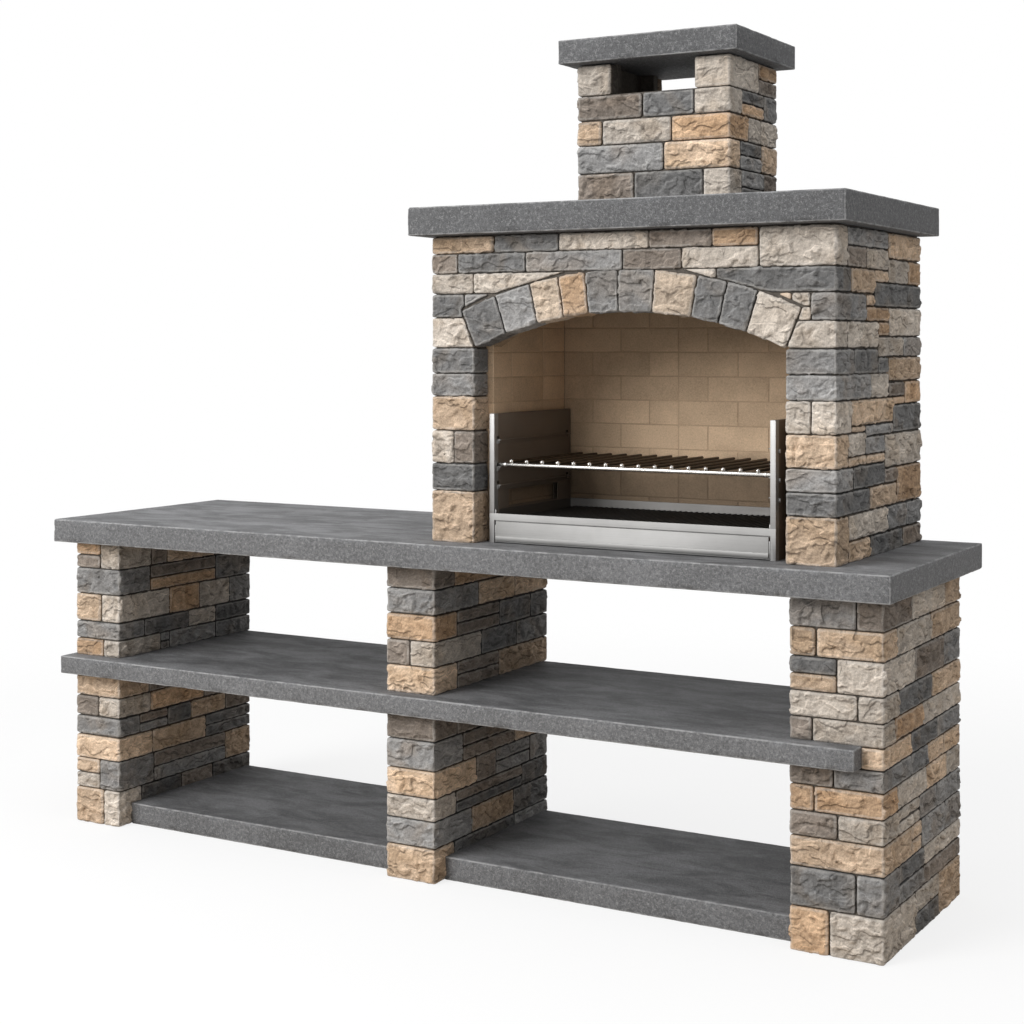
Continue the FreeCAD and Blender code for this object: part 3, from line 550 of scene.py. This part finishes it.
def plain_copy(obj):
    """The object's evaluated mesh as a mesh of its own."""
    depsgraph = bpy.context.evaluated_depsgraph_get()
    return bpy.data.meshes.new_from_object(obj.evaluated_get(depsgraph), depsgraph=depsgraph)


def settle(obj, modifier):
    """Keep what a modifier makes as the object's own mesh, and take the modifier off."""
    old = obj.data
    obj.data = plain_copy(obj)
    obj.modifiers.remove(modifier)
    bpy.data.meshes.remove(old)


def even_skin(points, triangles, cell, smoothing):
    """Points and quads of an even skin over a solid, with its arrises rounded off."""
    mesh = made_mesh("skin", points, triangles)
    obj = new_object("skin", mesh)
    skin = obj.modifiers.new("skin", "REMESH")
    skin.mode = "VOXEL"
    skin.voxel_size = cell
    rounding = obj.modifiers.new("rounding", "SMOOTH")
    rounding.factor = 0.5
    rounding.iterations = smoothing
    result = plain_copy(obj)
    where = np.empty(len(result.vertices) * 3)
    result.vertices.foreach_get("co", where)
    corners = np.empty(len(result.loops), np.int64)
    result.loops.foreach_get("vertex_index", corners)
    bpy.data.objects.remove(obj)
    bpy.data.meshes.remove(mesh)
    bpy.data.meshes.remove(result)
    return where.reshape(-1, 3), corners.reshape(-1, 4)


def rim_share(mesh, spread):
    """How close each point is to an arris: 0 on a flat, about 1 on a square edge."""
    normals = np.empty(len(mesh.vertices) * 3)
    mesh.vertex_normals.foreach_get("vector", normals)
    normals = normals.reshape(-1, 3)
    edges = np.empty(len(mesh.edges) * 2, np.int64)
    mesh.edges.foreach_get("vertices", edges)
    edges = edges.reshape(-1, 2)
    count = np.bincount(edges.ravel(), minlength=len(normals)) + 1.0
    for _ in range(spread):
        total = normals.copy()
        np.add.at(total, edges[:, 0], normals[edges[:, 1]])
        np.add.at(total, edges[:, 1], normals[edges[:, 0]])
        normals = total / count[:, None]
    return np.clip((1 - np.linalg.norm(normals, axis=1)) / square_edge, 0, 1)


def arris_share(points, low, high, reach):
    """1 on the rounded arrises of a block, else 0."""
    near = np.minimum(points - np.array(low), np.array(high) - points) < reach
    return (near.sum(axis=1) > 1).astype(float)


def store(mesh, name, kind, values):
    """Keep one value for each point on the mesh."""
    made = mesh.attributes.new(name, kind, "POINT")
    field = {"FLOAT": "value", "FLOAT_VECTOR": "vector", "FLOAT_COLOR": "color"}[kind]
    made.data.foreach_set(field, np.ascontiguousarray(values, np.float32).ravel())


def geometry_tree(name, inputs):
    """A Geometry Nodes tree with a mesh in and out and the named inputs."""
    tree = bpy.data.node_groups.new(name, "GeometryNodeTree")
    tree.interface.new_socket("Geometry", in_out="OUTPUT", socket_type="NodeSocketGeometry")
    tree.interface.new_socket("Geometry", in_out="INPUT", socket_type="NodeSocketGeometry")
    for label, kind in inputs:
        tree.interface.new_socket(label, in_out="INPUT", socket_type=f"NodeSocket{kind}")
    graph = Graph(tree)
    return tree, graph, graph.add("NodeGroupInput").outputs


def close_tree(graph, geometry, material):
    """Every tree ends in Realize Instances and Set Material."""
    real = graph.add("GeometryNodeRealizeInstances", {"Geometry": geometry}).outputs[0]
    done = graph.add("GeometryNodeSetMaterial", {"Geometry": real, "Material": material}).outputs[0]
    graph.add("NodeGroupOutput", {"Geometry": done})


def grown(obj, tree, **inputs):
    """Run a tree on an object, keep its result as a plain mesh and take the modifier off."""
    modifier = obj.modifiers.new(tree.name, "NODES")
    modifier.node_group = tree
    for item in tree.interface.items_tree:
        key = item.name.lower().replace(" ", "_")
        if item.in_out == "INPUT" and key in inputs:
            modifier[item.identifier] = inputs[key]
    settle(obj, modifier)


def split_face_tree():
    """Split faces: tilted facets, cleavage ledges and grain, fading out towards the arrises."""
    tree, graph, given = geometry_tree("split face", (
        ("Facet Scale", "Float"), ("Facet Slope", "Float"), ("Ledge Height", "Float"),
        ("Grain Height", "Float"), ("Arris Fall", "Float"), ("Material", "Material")))
    rim = graph.named("rim")
    place = graph.add("GeometryNodeInputPosition").outputs[0]
    where = graph.vector("ADD", place, graph.named("shift", "FLOAT_VECTOR"))
    bent = graph.warped(where, bend_scale, bend_reach)
    facet = graph.facets(bent, given["Facet Scale"], given["Facet Slope"])
    step, _ = graph.ledges(graph.vector("MULTIPLY", bent, bedding_stretch), ledge_scale, ledge_count)
    ledge = graph.times(step, given["Ledge Height"])
    grain = graph.math("SUBTRACT", graph.noise(where, 85.0, 4.0, 0.6), 0.5)
    grain = graph.times(grain, given["Grain Height"])
    height = graph.math("ADD", graph.math("ADD", facet, ledge), grain)
    height = graph.times(height, graph.ramp(rim, 0.02, 0.42, 1.0, 0.08))
    height = graph.math("SUBTRACT", height, graph.times(rim, given["Arris Fall"]))
    height = graph.times(height, graph.named("open"))
    capped = graph.math("MINIMUM", graph.math("MAXIMUM", height, -relief_limit), relief_limit)
    relief = graph.math("DIVIDE", capped, relief_unit)
    noted = graph.add("GeometryNodeStoreNamedAttribute", {
        "Geometry": given["Geometry"], "Name": "relief", "Value": relief},
        data_type="FLOAT", domain="POINT").outputs[0]
    normal = graph.add("GeometryNodeInputNormal").outputs[0]
    moved = graph.vector("ADD", place, graph.scaled(normal, capped))
    moved = graph.vector("MAXIMUM", moved, ground_bound)
    shaped = graph.add("GeometryNodeSetPosition", {"Geometry": noted, "Position": moved}).outputs[0]
    close_tree(graph, shaped, given["Material"])
    return tree


def arch_circle():
    """Centre, across and up, and radius of the arch's underside, seen from the front."""
    half = (opening_right - opening_left) / 2
    radius = (half ** 2 + arch_rise ** 2) / (2 * arch_rise)
    return (opening_left + opening_right) / 2, arch_spring + arch_rise - radius, radius


def face_depth(points, place):
    """How deep in a joint each point of a wall's stones lies, and how rough the split is there."""
    low, high = stone_box(place)
    beside = np.minimum(points[:, 0] - low[0], high[0] - points[:, 0])
    behind = high[1] - points[:, 1]
    front = points[:, 1] - low[1]
    reveal = np.full(len(points), np.inf)
    if place == "hearth":
        middle, centre, radius = arch_circle()
        reveal = np.abs(np.hypot(points[:, 0] - middle, points[:, 2] - centre) - radius)
        for side in (opening_left, opening_right):
            gap = np.abs(points[:, 0] - side)
            reveal = np.where(points[:, 2] < arch_spring, np.minimum(reveal, gap), reveal)
    rough = np.where(np.minimum(front, beside) < open_reach, 1.0,
                     np.where(np.minimum(behind, reveal) < open_reach, reveal_roughness, 0.0))
    raked = np.minimum(np.minimum(front, behind), beside * side_rake)
    return np.maximum(np.minimum(raked, reveal), 0.0), rough


def swollen(corners):
    """A solid made a little larger each way, so that only a thin joint is left between neighbours."""
    low, high = corners.min(axis=0), corners.max(axis=0)
    return (low + high) / 2 + (corners - (low + high) / 2) * (1 + 2 * stone_swell / (high - low))


def split_stones(node, place, tree, material, rng, tints=None):
    """The stones of one node, each with its own tone and its own part of the pattern."""
    points, faces, tones, shifts, colours = [], [], [], [], []
    start = 0
    for number, (corners, triangles) in enumerate(solids_of(node)):
        where, quads = even_skin(swollen(corners), triangles, stone_cell, stone_smoothing)
        points.append(where)
        faces.append(quads + start)
        start += len(where)
        tones.append(np.full(len(where), rng.random()))
        shifts.append(np.tile(rng.uniform(-pattern_shift, pattern_shift, 3), (len(where), 1)))
        if tints:
            colours.append(np.tile(rgba(tints[number]), (len(where), 1)))
    points = np.concatenate(points)
    mesh = made_mesh(node + "_dressed", points, np.concatenate(faces))
    store(mesh, "tone", "FLOAT", np.concatenate(tones))
    store(mesh, "shift", "FLOAT_VECTOR", np.concatenate(shifts))
    store(mesh, "rim", "FLOAT", rim_share(mesh, rim_spread))
    store(mesh, "arris", "FLOAT", rim_share(mesh, arris_spread))
    depth, rough = face_depth(points, place)
    store(mesh, "depth", "FLOAT", depth)
    store(mesh, "open", "FLOAT", rough)
    if tints:
        store(mesh, "tint", "FLOAT_COLOR", np.concatenate(colours))
    obj = new_object(node + "_dressed", mesh)
    grown(obj, tree, facet_scale=33.0, facet_slope=0.62, ledge_height=0.0016, grain_height=0.003,
          arris_fall=0.0006, material=material)
    flat = obj.modifiers.new("hidden flats", "DECIMATE")
    flat.decimate_type = "DISSOLVE"
    flat.angle_limit = flat_angle
    settle(obj, flat)
    obj.data.shade_smooth()
    hand_over(obj, node)


def graded(low, high, cell, radius):
    """Lines across one side of a block: close together in the rounding, even between."""
    arc = radius * (1 - np.cos(np.linspace(0, math.pi / 2, arris_lines)))
    flat_low, flat_high = low + radius + arris_margin, high - radius - arris_margin
    middle = np.linspace(flat_low, flat_high, max(2, round((high - low) / cell) + 1))
    return np.concatenate([low + arc, middle, (high - arc)[::-1]])


def rounded_block(low, high, cell, radius):
    """Points and quads of a closed block with an even net on its faces and rounded arrises."""
    low, high = np.array(low), np.array(high)
    lines = [graded(low[axis], high[axis], cell, radius) for axis in range(3)]
    points, faces, start = [], [], 0
    for axis in range(3):
        one, two = (axis + 1) % 3, (axis + 2) % 3
        u, v = np.meshgrid(lines[one], lines[two], indexing="ij")
        for end, turn in ((low[axis], True), (high[axis], False)):
            place = np.empty((*u.shape, 3))
            place[..., one], place[..., two], place[..., axis] = u, v, end
            number = start + np.arange(u.size).reshape(u.shape)
            quad = np.stack([number[:-1, :-1], number[1:, :-1], number[1:, 1:], number[:-1, 1:]], -1)
            quad = quad.reshape(-1, 4)
            points.append(place.reshape(-1, 3))
            faces.append(quad[:, ::-1] if turn else quad)
            start += u.size
    points, merged = np.unique(np.round(np.concatenate(points), 6), axis=0, return_inverse=True)
    faces = merged.reshape(-1)[np.concatenate(faces)]
    inside = np.clip(points, low + radius, high - radius)
    out = points - inside
    length = np.maximum(np.linalg.norm(out, axis=1, keepdims=True), 1e-9)
    return inside + out / length * np.minimum(radius, length.max()), faces


def weathered_tree():
    """A faint unevenness over a cast or fired face, with small chips along the arrises."""
    tree, graph, given = geometry_tree("weathered", (
        ("Wave Scale", "Float"), ("Wave Height", "Float"), ("Chip Depth", "Float"),
        ("Material", "Material")))
    where = graph.add("GeometryNodeInputPosition").outputs[0]
    wave = graph.math("SUBTRACT", graph.noise(where, given["Wave Scale"], 4.0, 0.6), 0.5)
    chip = graph.times(graph.ramp(graph.noise(where, 38.0, 3.0, 0.6), 0.5, 0.7), graph.named("rim"))
    height = graph.math("SUBTRACT", graph.times(wave, given["Wave Height"]),
                        graph.times(chip, given["Chip Depth"]))
    normal = graph.add("GeometryNodeInputNormal").outputs[0]
    moved = graph.add("GeometryNodeSetPosition", {
        "Geometry": given["Geometry"], "Offset": graph.scaled(normal, height)}).outputs[0]
    close_tree(graph, moved, given["Material"])
    return tree


def cut_flue(slab):
    """The smoke hole through the mantel, as its solid has it."""
    low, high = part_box("mantel_slab")
    corners = np.concatenate([points for points, _ in solids_of("mantel_slab")])
    past_low = corners[:, :2] > np.array(low[:2]) + flue_margin
    short_of_high = corners[:, :2] < np.array(high[:2]) - flue_margin
    inner = corners[(past_low & short_of_high).all(axis=1)]
    near, far = inner.min(axis=0), inner.max(axis=0)
    points, faces = block_skin((near[0], near[1], low.z - flue_overshoot),
                               (far[0], far[1], high.z + flue_overshoot))
    hole = new_object("flue_hole", made_mesh("flue_hole", points, faces))
    cut = slab.modifiers.new("flue", "BOOLEAN")
    cut.operation = "DIFFERENCE"
    cut.solver = "EXACT"
    cut.object = hole
    settle(slab, cut)
    bpy.data.objects.remove(hole)


def cast_slab(node, tree, material):
    """A cast slab with rounded, slightly chipped arrises."""
    low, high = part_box(node)
    points, faces = rounded_block(low, high, slab_cell, slab_radius)
    mesh = made_mesh(node + "_cast", points, faces)
    store(mesh, "rim", "FLOAT", arris_share(points, low, high, slab_radius + arris_margin / 2))
    store(mesh, "tone", "FLOAT", np.full(len(points), slab_tone.get(node, 1.0)))
    obj = new_object(node + "_cast", mesh)
    if node == "mantel_slab":
        cut_flue(obj)
    grown(obj, tree, wave_scale=16.0, wave_height=0.0012, chip_depth=0.0025, material=material)
    obj.data.shade_smooth()
    hand_over(obj, node)


def corner_distance(points):
    """How far each point lies from the nearer of the two inner corners of the fire chamber."""
    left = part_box("firebrick_left")[1].x
    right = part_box("firebrick_right")[0].x
    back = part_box("firebrick_back")[0].y
    beside = np.minimum(np.abs(points[:, 0] - left), np.abs(points[:, 0] - right))
    return np.maximum(beside, np.abs(points[:, 1] - back))


def laid_bricks(node, tree, material, rng):
    """Firebricks in running bond, each with its own tone, and the pointing just behind their faces."""
    points, faces, tones, shifts, fills, rims = [], [], [], [], [], []
    start = 0
    blocks = [(corners.min(axis=0), corners.max(axis=0), 0.0) for corners, _ in solids_of(node)]
    low, high = (np.array(corner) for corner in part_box(node))
    blocks.append((low + pointing_depth, high - pointing_depth, 1.0))
    for near, far, fill in blocks:
        where, quads = rounded_block(near, far, brick_cell, brick_radius)
        points.append(where)
        faces.append(quads + start)
        start += len(where)
        tones.append(np.full(len(where), rng.random()))
        shifts.append(np.tile(rng.uniform(-pattern_shift, pattern_shift, 3), (len(where), 1)))
        fills.append(np.full(len(where), fill))
        rims.append(arris_share(where, near, far, brick_radius + arris_margin / 2))
    mesh = made_mesh(node + "_laid", np.concatenate(points), np.concatenate(faces))
    store(mesh, "tone", "FLOAT", np.concatenate(tones))
    store(mesh, "shift", "FLOAT_VECTOR", np.concatenate(shifts))
    store(mesh, "pointing", "FLOAT", np.concatenate(fills))
    store(mesh, "wall", "FLOAT", np.full(start, painted_wall_light.get(node, 1.0)))
    store(mesh, "rim", "FLOAT", np.concatenate(rims))
    store(mesh, "corner", "FLOAT", corner_distance(np.concatenate(points)))
    obj = new_object(node + "_laid", mesh)
    grown(obj, tree, wave_scale=30.0, wave_height=0.0008, chip_depth=0.001, material=material)
    obj.data.shade_smooth()
    hand_over(obj, node)


def block_skin(low, high):
    """Points and quads of a plain block."""
    points = np.array([(x, y, z) for z in (low[2], high[2])
                       for y in (low[1], high[1]) for x in (low[0], high[0])])
    return points, [(0, 2, 3, 1), (4, 5, 7, 6), (0, 1, 5, 4), (2, 6, 7, 3), (0, 4, 6, 2), (1, 3, 7, 5)]


def bedding(name, nodes, blocks, others=()):
    """Mortar that fills a wall to a little behind the stone faces, with the cores that it stands for."""
    points, faces, start = [], [], 0
    for corners, sides in [*(block_skin(low, high) for low, high in blocks), *others]:
        points.extend(corners)
        faces.extend([start + int(i) for i in side] for side in sides)
        start += len(corners)
    obj = new_object(name, made_mesh(name, points, faces))
    paint(obj, mortar)
    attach(obj, "masonry")
    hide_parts(*nodes)


def pier_bedding(place):
    """Mortar between the stones of one pier."""
    reach = np.array((stone_thickness - joint_depth, stone_thickness - joint_depth, 0.0))
    blocks = [(corners.min(axis=0) - reach, corners.max(axis=0) + reach)
              for corners, _ in solids_of(place + "_core")]
    bedding(place + "_bedding", [place + "_core"], blocks)


def hearth_bedding():
    """Mortar between the stones of the hearth: sides, back, and a front panel cut out to the arch."""
    low, high = mortar_box("hearth")
    cores = ["hearth_left_core", "hearth_right_core", "hearth_back_core"]
    left_core, right_core, back_core = (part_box(core) for core in cores)
    sill, top = back_core[0].z, back_core[1].z
    panel_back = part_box("arch_backing")[0].y - panel_gap
    blocks = [((low[0], panel_back, sill), (left_core[1].x, high[1], top)),
              ((right_core[0].x, panel_back, sill), (high[0], high[1], top)),
              ((left_core[1].x, back_core[0].y, sill), (right_core[0].x, high[1], top))]
    middle, centre, radius = arch_circle()
    half = (opening_right - opening_left) / 2
    bend = radius + joint_depth
    angle = math.asin((half + joint_depth) / bend)
    outline = [(low[0], sill), (low[0], top), (high[0], top), (high[0], sill),
               (middle + half + joint_depth, sill)]
    outline += [(middle + bend * math.sin(turn), centre + bend * math.cos(turn))
                for turn in np.linspace(angle, -angle, arch_facets + 1)]
    outline.append((middle - half - joint_depth, sill))
    count = len(outline)
    corners = [(x, y, z) for y in (low[1], panel_back) for x, z in outline]
    sides = [list(range(count))[::-1], list(range(count, 2 * count))]
    sides += [[i, (i + 1) % count, count + (i + 1) % count, count + i] for i in range(count)]
    bedding("hearth_bedding", cores, blocks, [(corners, sides)])


def chimney_bedding():
    """Mortar between the stones of the stack, round its liner and under the vent."""
    low, high = mortar_box("chimney")
    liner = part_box("chimney_liner")
    blocks = [((low[0], low[1], low[2]), (liner[0].x, high[1], liner[1].z)),
              ((liner[1].x, low[1], low[2]), (high[0], high[1], liner[1].z)),
              ((liner[0].x, low[1], low[2]), (liner[1].x, liner[0].y, vent_sill)),
              ((liner[0].x, liner[1].y, low[2]), (liner[1].x, high[1], vent_sill))]
    bedding("chimney_bedding", ["chimney_liner"], blocks, solids_of("chimney_liner"))


def stone_box(place):
    """Lowest and highest corner of all the stones of one place."""
    boxes = [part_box(f"{place}_{kind}_stones") for kind in STONE_KINDS]
    return (np.min([np.array(box[0]) for box in boxes], axis=0),
            np.max([np.array(box[1]) for box in boxes], axis=0))


def mortar_box(place):
    """Lowest and highest corner of the mortar between the stones of one place."""
    inset = np.array((joint_depth, joint_depth, 0.0))
    low, high = stone_box(place)
    return low + inset, high - inset


def formed_steel(node, material):
    """A steel piece from its CAD solids, with softened edges."""
    points, faces, start = [], [], 0
    for corners, triangles in solids_of(node):
        points.append(corners)
        faces.append(triangles + start)
        start += len(corners)
    mesh = made_mesh(node + "_formed", np.concatenate(points), np.concatenate(faces))
    obj = new_object(node + "_formed", mesh)
    soft = obj.modifiers.new("edges", "BEVEL")
    soft.width = fold_radius
    soft.segments = fold_segments
    soft.limit_method = "ANGLE"
    soft.angle_limit = crease_angle
    settle(obj, soft)
    obj.data.shade_smooth()
    obj.data.set_sharp_from_angle(angle=crease_angle)
    paint(obj, material)
    hand_over(obj, node)


def bar_row_tree():
    """A row of round bars from front to back, each with a polished bead on its front end."""
    tree, graph, given = geometry_tree("bar row", (
        ("Bars", "Int"), ("First", "Vector"), ("Pitch", "Float"), ("Length", "Float"),
        ("Diameter", "Float"), ("Bead", "Float"), ("Material", "Material")))
    offset = graph.add("ShaderNodeCombineXYZ", {"X": given["Pitch"]}).outputs[0]
    row = graph.add("GeometryNodeMeshLine", {
        "Count": given["Bars"], "Start Location": given["First"], "Offset": offset}).outputs["Mesh"]
    radius = graph.times(given["Diameter"], 0.5)
    bar = graph.add("GeometryNodeMeshCylinder", {
        "Vertices": round_sides, "Side Segments": 1, "Radius": radius,
        "Depth": given["Length"]}).outputs["Mesh"]
    half_length = graph.times(given["Length"], 0.5)
    middle = graph.add("ShaderNodeCombineXYZ", {"Y": half_length}).outputs[0]
    bar = graph.add("GeometryNodeTransform", {
        "Geometry": bar, "Translation": middle, "Rotation": (math.pi / 2, 0.0, 0.0)}).outputs[0]
    bead_radius = graph.times(given["Bead"], 0.5)
    bead = graph.add("GeometryNodeMeshUVSphere", {
        "Segments": round_sides, "Rings": bead_rings, "Radius": bead_radius}).outputs["Mesh"]
    seat = graph.times(given["Bead"], bead_seat)
    front = graph.add("ShaderNodeCombineXYZ", {"Y": seat}).outputs[0]
    bead = graph.add("GeometryNodeTransform", {"Geometry": bead, "Translation": front}).outputs[0]
    joined = graph.add("GeometryNodeJoinGeometry")
    for shape, polish in ((bar, 0.0), (bead, 1.0)):
        marked = graph.add("GeometryNodeStoreNamedAttribute", {
            "Geometry": shape, "Name": "polish", "Value": polish}, data_type="FLOAT", domain="POINT")
        tree.links.new(marked.outputs[0], joined.inputs[0])
    placed = graph.add("GeometryNodeInstanceOnPoints", {"Points": row, "Instance": joined.outputs[0]})
    close_tree(graph, placed.outputs[0], given["Material"])
    return tree


def browned_bar_finish():
    """Grate bars browned by heat, with bright polished ends."""
    material, graph, shader = finish("grate_steel")
    where = object_place(graph)
    scale = graph.noise(where, 70.0, 5.0, 0.7)
    polish = graph.attribute("polish")
    brown = graph.mix(graph.ramp(scale, 0.35, 0.7), rgba(grate_dark), rgba(grate_brown))
    graph.put(shader.inputs["Base Color"], graph.mix(polish, brown, rgba(bead_bright)))
    shader.inputs["Metallic"].default_value = 1.0
    roughness = graph.math("SUBTRACT", graph.ramp(scale, 0.3, 0.7, 0.36, 0.52),
                           graph.times(polish, 0.2))
    graph.put(shader.inputs["Roughness"], roughness)
    bump(graph, shader, scale, 0.0003, 0.6)
    return material


def grate_bars():
    """The cooking grate's bars, laid out as their solids are."""
    node = "cooking_grate_bars"
    boxes = sorted((tuple(corners.min(axis=0)), tuple(corners.max(axis=0)))
                   for corners, _ in solids_of(node))
    (low, high), (next_low, _) = boxes[0], boxes[1]
    first = ((low[0] + high[0]) / 2, low[1], (low[2] + high[2]) / 2)
    obj = new_object(node + "_row", made_mesh(node + "_row", [], []))
    grown(obj, bar_row_tree(), bars=len(boxes), first=first, pitch=next_low[0] - low[0],
          length=high[1] - low[1], diameter=high[2] - low[2], bead=bead_diameter,
          material=browned_bar_finish())
    obj.data.shade_smooth()
    obj.data.set_sharp_from_angle(angle=crease_angle)
    hand_over(obj, node)


def studio():
    """Pale floor that fades into a white surround, soft light from the front left, and the camera."""
    scene = bpy.context.scene
    scene.view_settings.view_transform = "Standard"
    world = bpy.data.worlds.new("surround")
    scene.world = world
    world.use_nodes = True
    graph = Graph(world.node_tree)
    path = graph.add("ShaderNodeLightPath").outputs
    seen = graph.math("MAXIMUM", graph.math("MAXIMUM", path["Is Camera Ray"], path["Is Glossy Ray"]),
                      path["Is Transmission Ray"])
    background = world.node_tree.nodes["Background"]
    background.inputs["Color"].default_value = rgba((1.0, 1.0, 1.0))
    strength = graph.ramp(seen, 0.0, 1.0, surround_light, 1.0, smooth=False)
    graph.put(background.inputs["Strength"], strength)

    corners = [(x * floor_half, y * floor_half, -floor_drop)
               for x, y in ((-1, -1), (1, -1), (1, 1), (-1, 1))]
    floor = new_object("floor", made_mesh("floor", corners, [(0, 1, 2, 3)]))
    material, graph, shader = finish("pale_floor")
    away = graph.vector("LENGTH", object_place(graph))
    shader.inputs["Roughness"].default_value = 0.9
    clear = graph.add("ShaderNodeBsdfTransparent").outputs[0]
    white = graph.add("ShaderNodeEmission").outputs[0]
    seen = graph.add("ShaderNodeLightPath").outputs["Is Camera Ray"]
    graph.put(shader.inputs["Base Color"], graph.mix(seen, rgba(floor_bounce), rgba(floor_colour)))
    pale = graph.add("ShaderNodeMixShader", {"Fac": graph.times(seen, floor_glow)})
    graph.put(pale.inputs[1], shader.outputs[0])
    graph.put(pale.inputs[2], white)
    blend = graph.add("ShaderNodeMixShader", {"Fac": graph.ramp(away, floor_fade_start, floor_fade_end)})
    graph.put(blend.inputs[1], pale.outputs[0])
    graph.put(blend.inputs[2], clear)
    graph.put(material.node_tree.nodes["Material Output"].inputs["Surface"], blend.outputs[0])
    paint(floor, material)

    for name, (place, aim, size, power) in LAMPS.items():
        lamp = bpy.data.lights.new(name, "AREA")
        lamp.shape = "DISK"
        lamp.size = size
        lamp.energy = power
        obj = new_object(name, lamp)
        obj.location = place
        obj.rotation_euler = (Vector(aim) - Vector(place)).to_track_quat("-Z", "Y").to_euler()

    view = bpy.data.cameras.new("view")
    view.sensor_width = camera_sensor
    view.lens = camera_lens
    view.shift_y = camera_shift
    camera = new_object("camera", view)
    camera.location = camera_place
    camera.rotation_euler = (math.radians(90), 0, camera_turn)
    scene.camera = camera


rng = np.random.default_rng(stone_seed)
studio()
mortar = mortar_finish("mortar_core", mortar_colour)
for place in ("left_pier", "middle_pier", "right_pier"):
    pier_bedding(place)
hearth_bedding()
chimney_bedding()
# The mortar behind the arch is painted the colour of firebrick in shade
paint(frame["nodes"]["arch_backing"], mortar_finish("arch_mortar", shaded_backing_colour))

split_face = split_face_tree()
stone = {kind: split_stone_finish(kind, STONE_COLOUR[kind], *STONE_STAIN[kind]) for kind in STONE_KINDS}
for place in STONE_PLACES:
    for kind in STONE_KINDS:
        split_stones(f"{place}_{kind}_stones", place, split_face, stone[kind], rng)
arch_stone = split_stone_finish("arch", None, *STONE_STAIN["arch"])
split_stones("arch_voussoirs", "hearth", split_face, arch_stone, rng,
             [STONE_COLOUR[kind] for kind in ARCH_KINDS])

weathered = weathered_tree()
concrete = cast_concrete_finish()
for node in SLABS:
    cast_slab(node, weathered, concrete)
firebrick = firebrick_finish()
for node in BRICK_WALLS:
    laid_bricks(node, weathered, firebrick, rng)

stainless = steel_finish("stainless_sheet", (0.35, 0.346, 0.339), brushed, rough=(0.5, 0.6),
                         inner_shade=0.95, inner_shade_colour=(0.19, 0.15, 0.115))
for node in SHEET_PIECES:
    formed_steel(node, stainless)
drawer_steel = steel_finish("drawer_steel", (0.25, 0.247, 0.241), brushed, rough=(0.54, 0.62),
                            inner_shade=0.6, inner_shade_colour=(0.12, 0.09, 0.066))
formed_steel("ash_drawer_front", drawer_steel)
tray_steel = steel_finish("tray_steel", (0.3, 0.296, 0.29), brushed, rough=(0.36, 0.5),
                          inner_shade=0.7, inner_shade_colour=(0.03, 0.026, 0.022))
formed_steel("charcoal_tray", tray_steel)
rod_steel = steel_finish("grate_rods", (0.62, 0.61, 0.59), grained, rough=(0.2, 0.32),
                         inner_shade=0.5, inner_shade_colour=(0.05, 0.04, 0.03), shade_from=rod_shade_from)
for node in ("cooking_grate_rods", "cooking_grate_collars"):
    formed_steel(node, rod_steel)
grate_bars()
formed_steel("charcoal_grate_bars", blackened_finish())
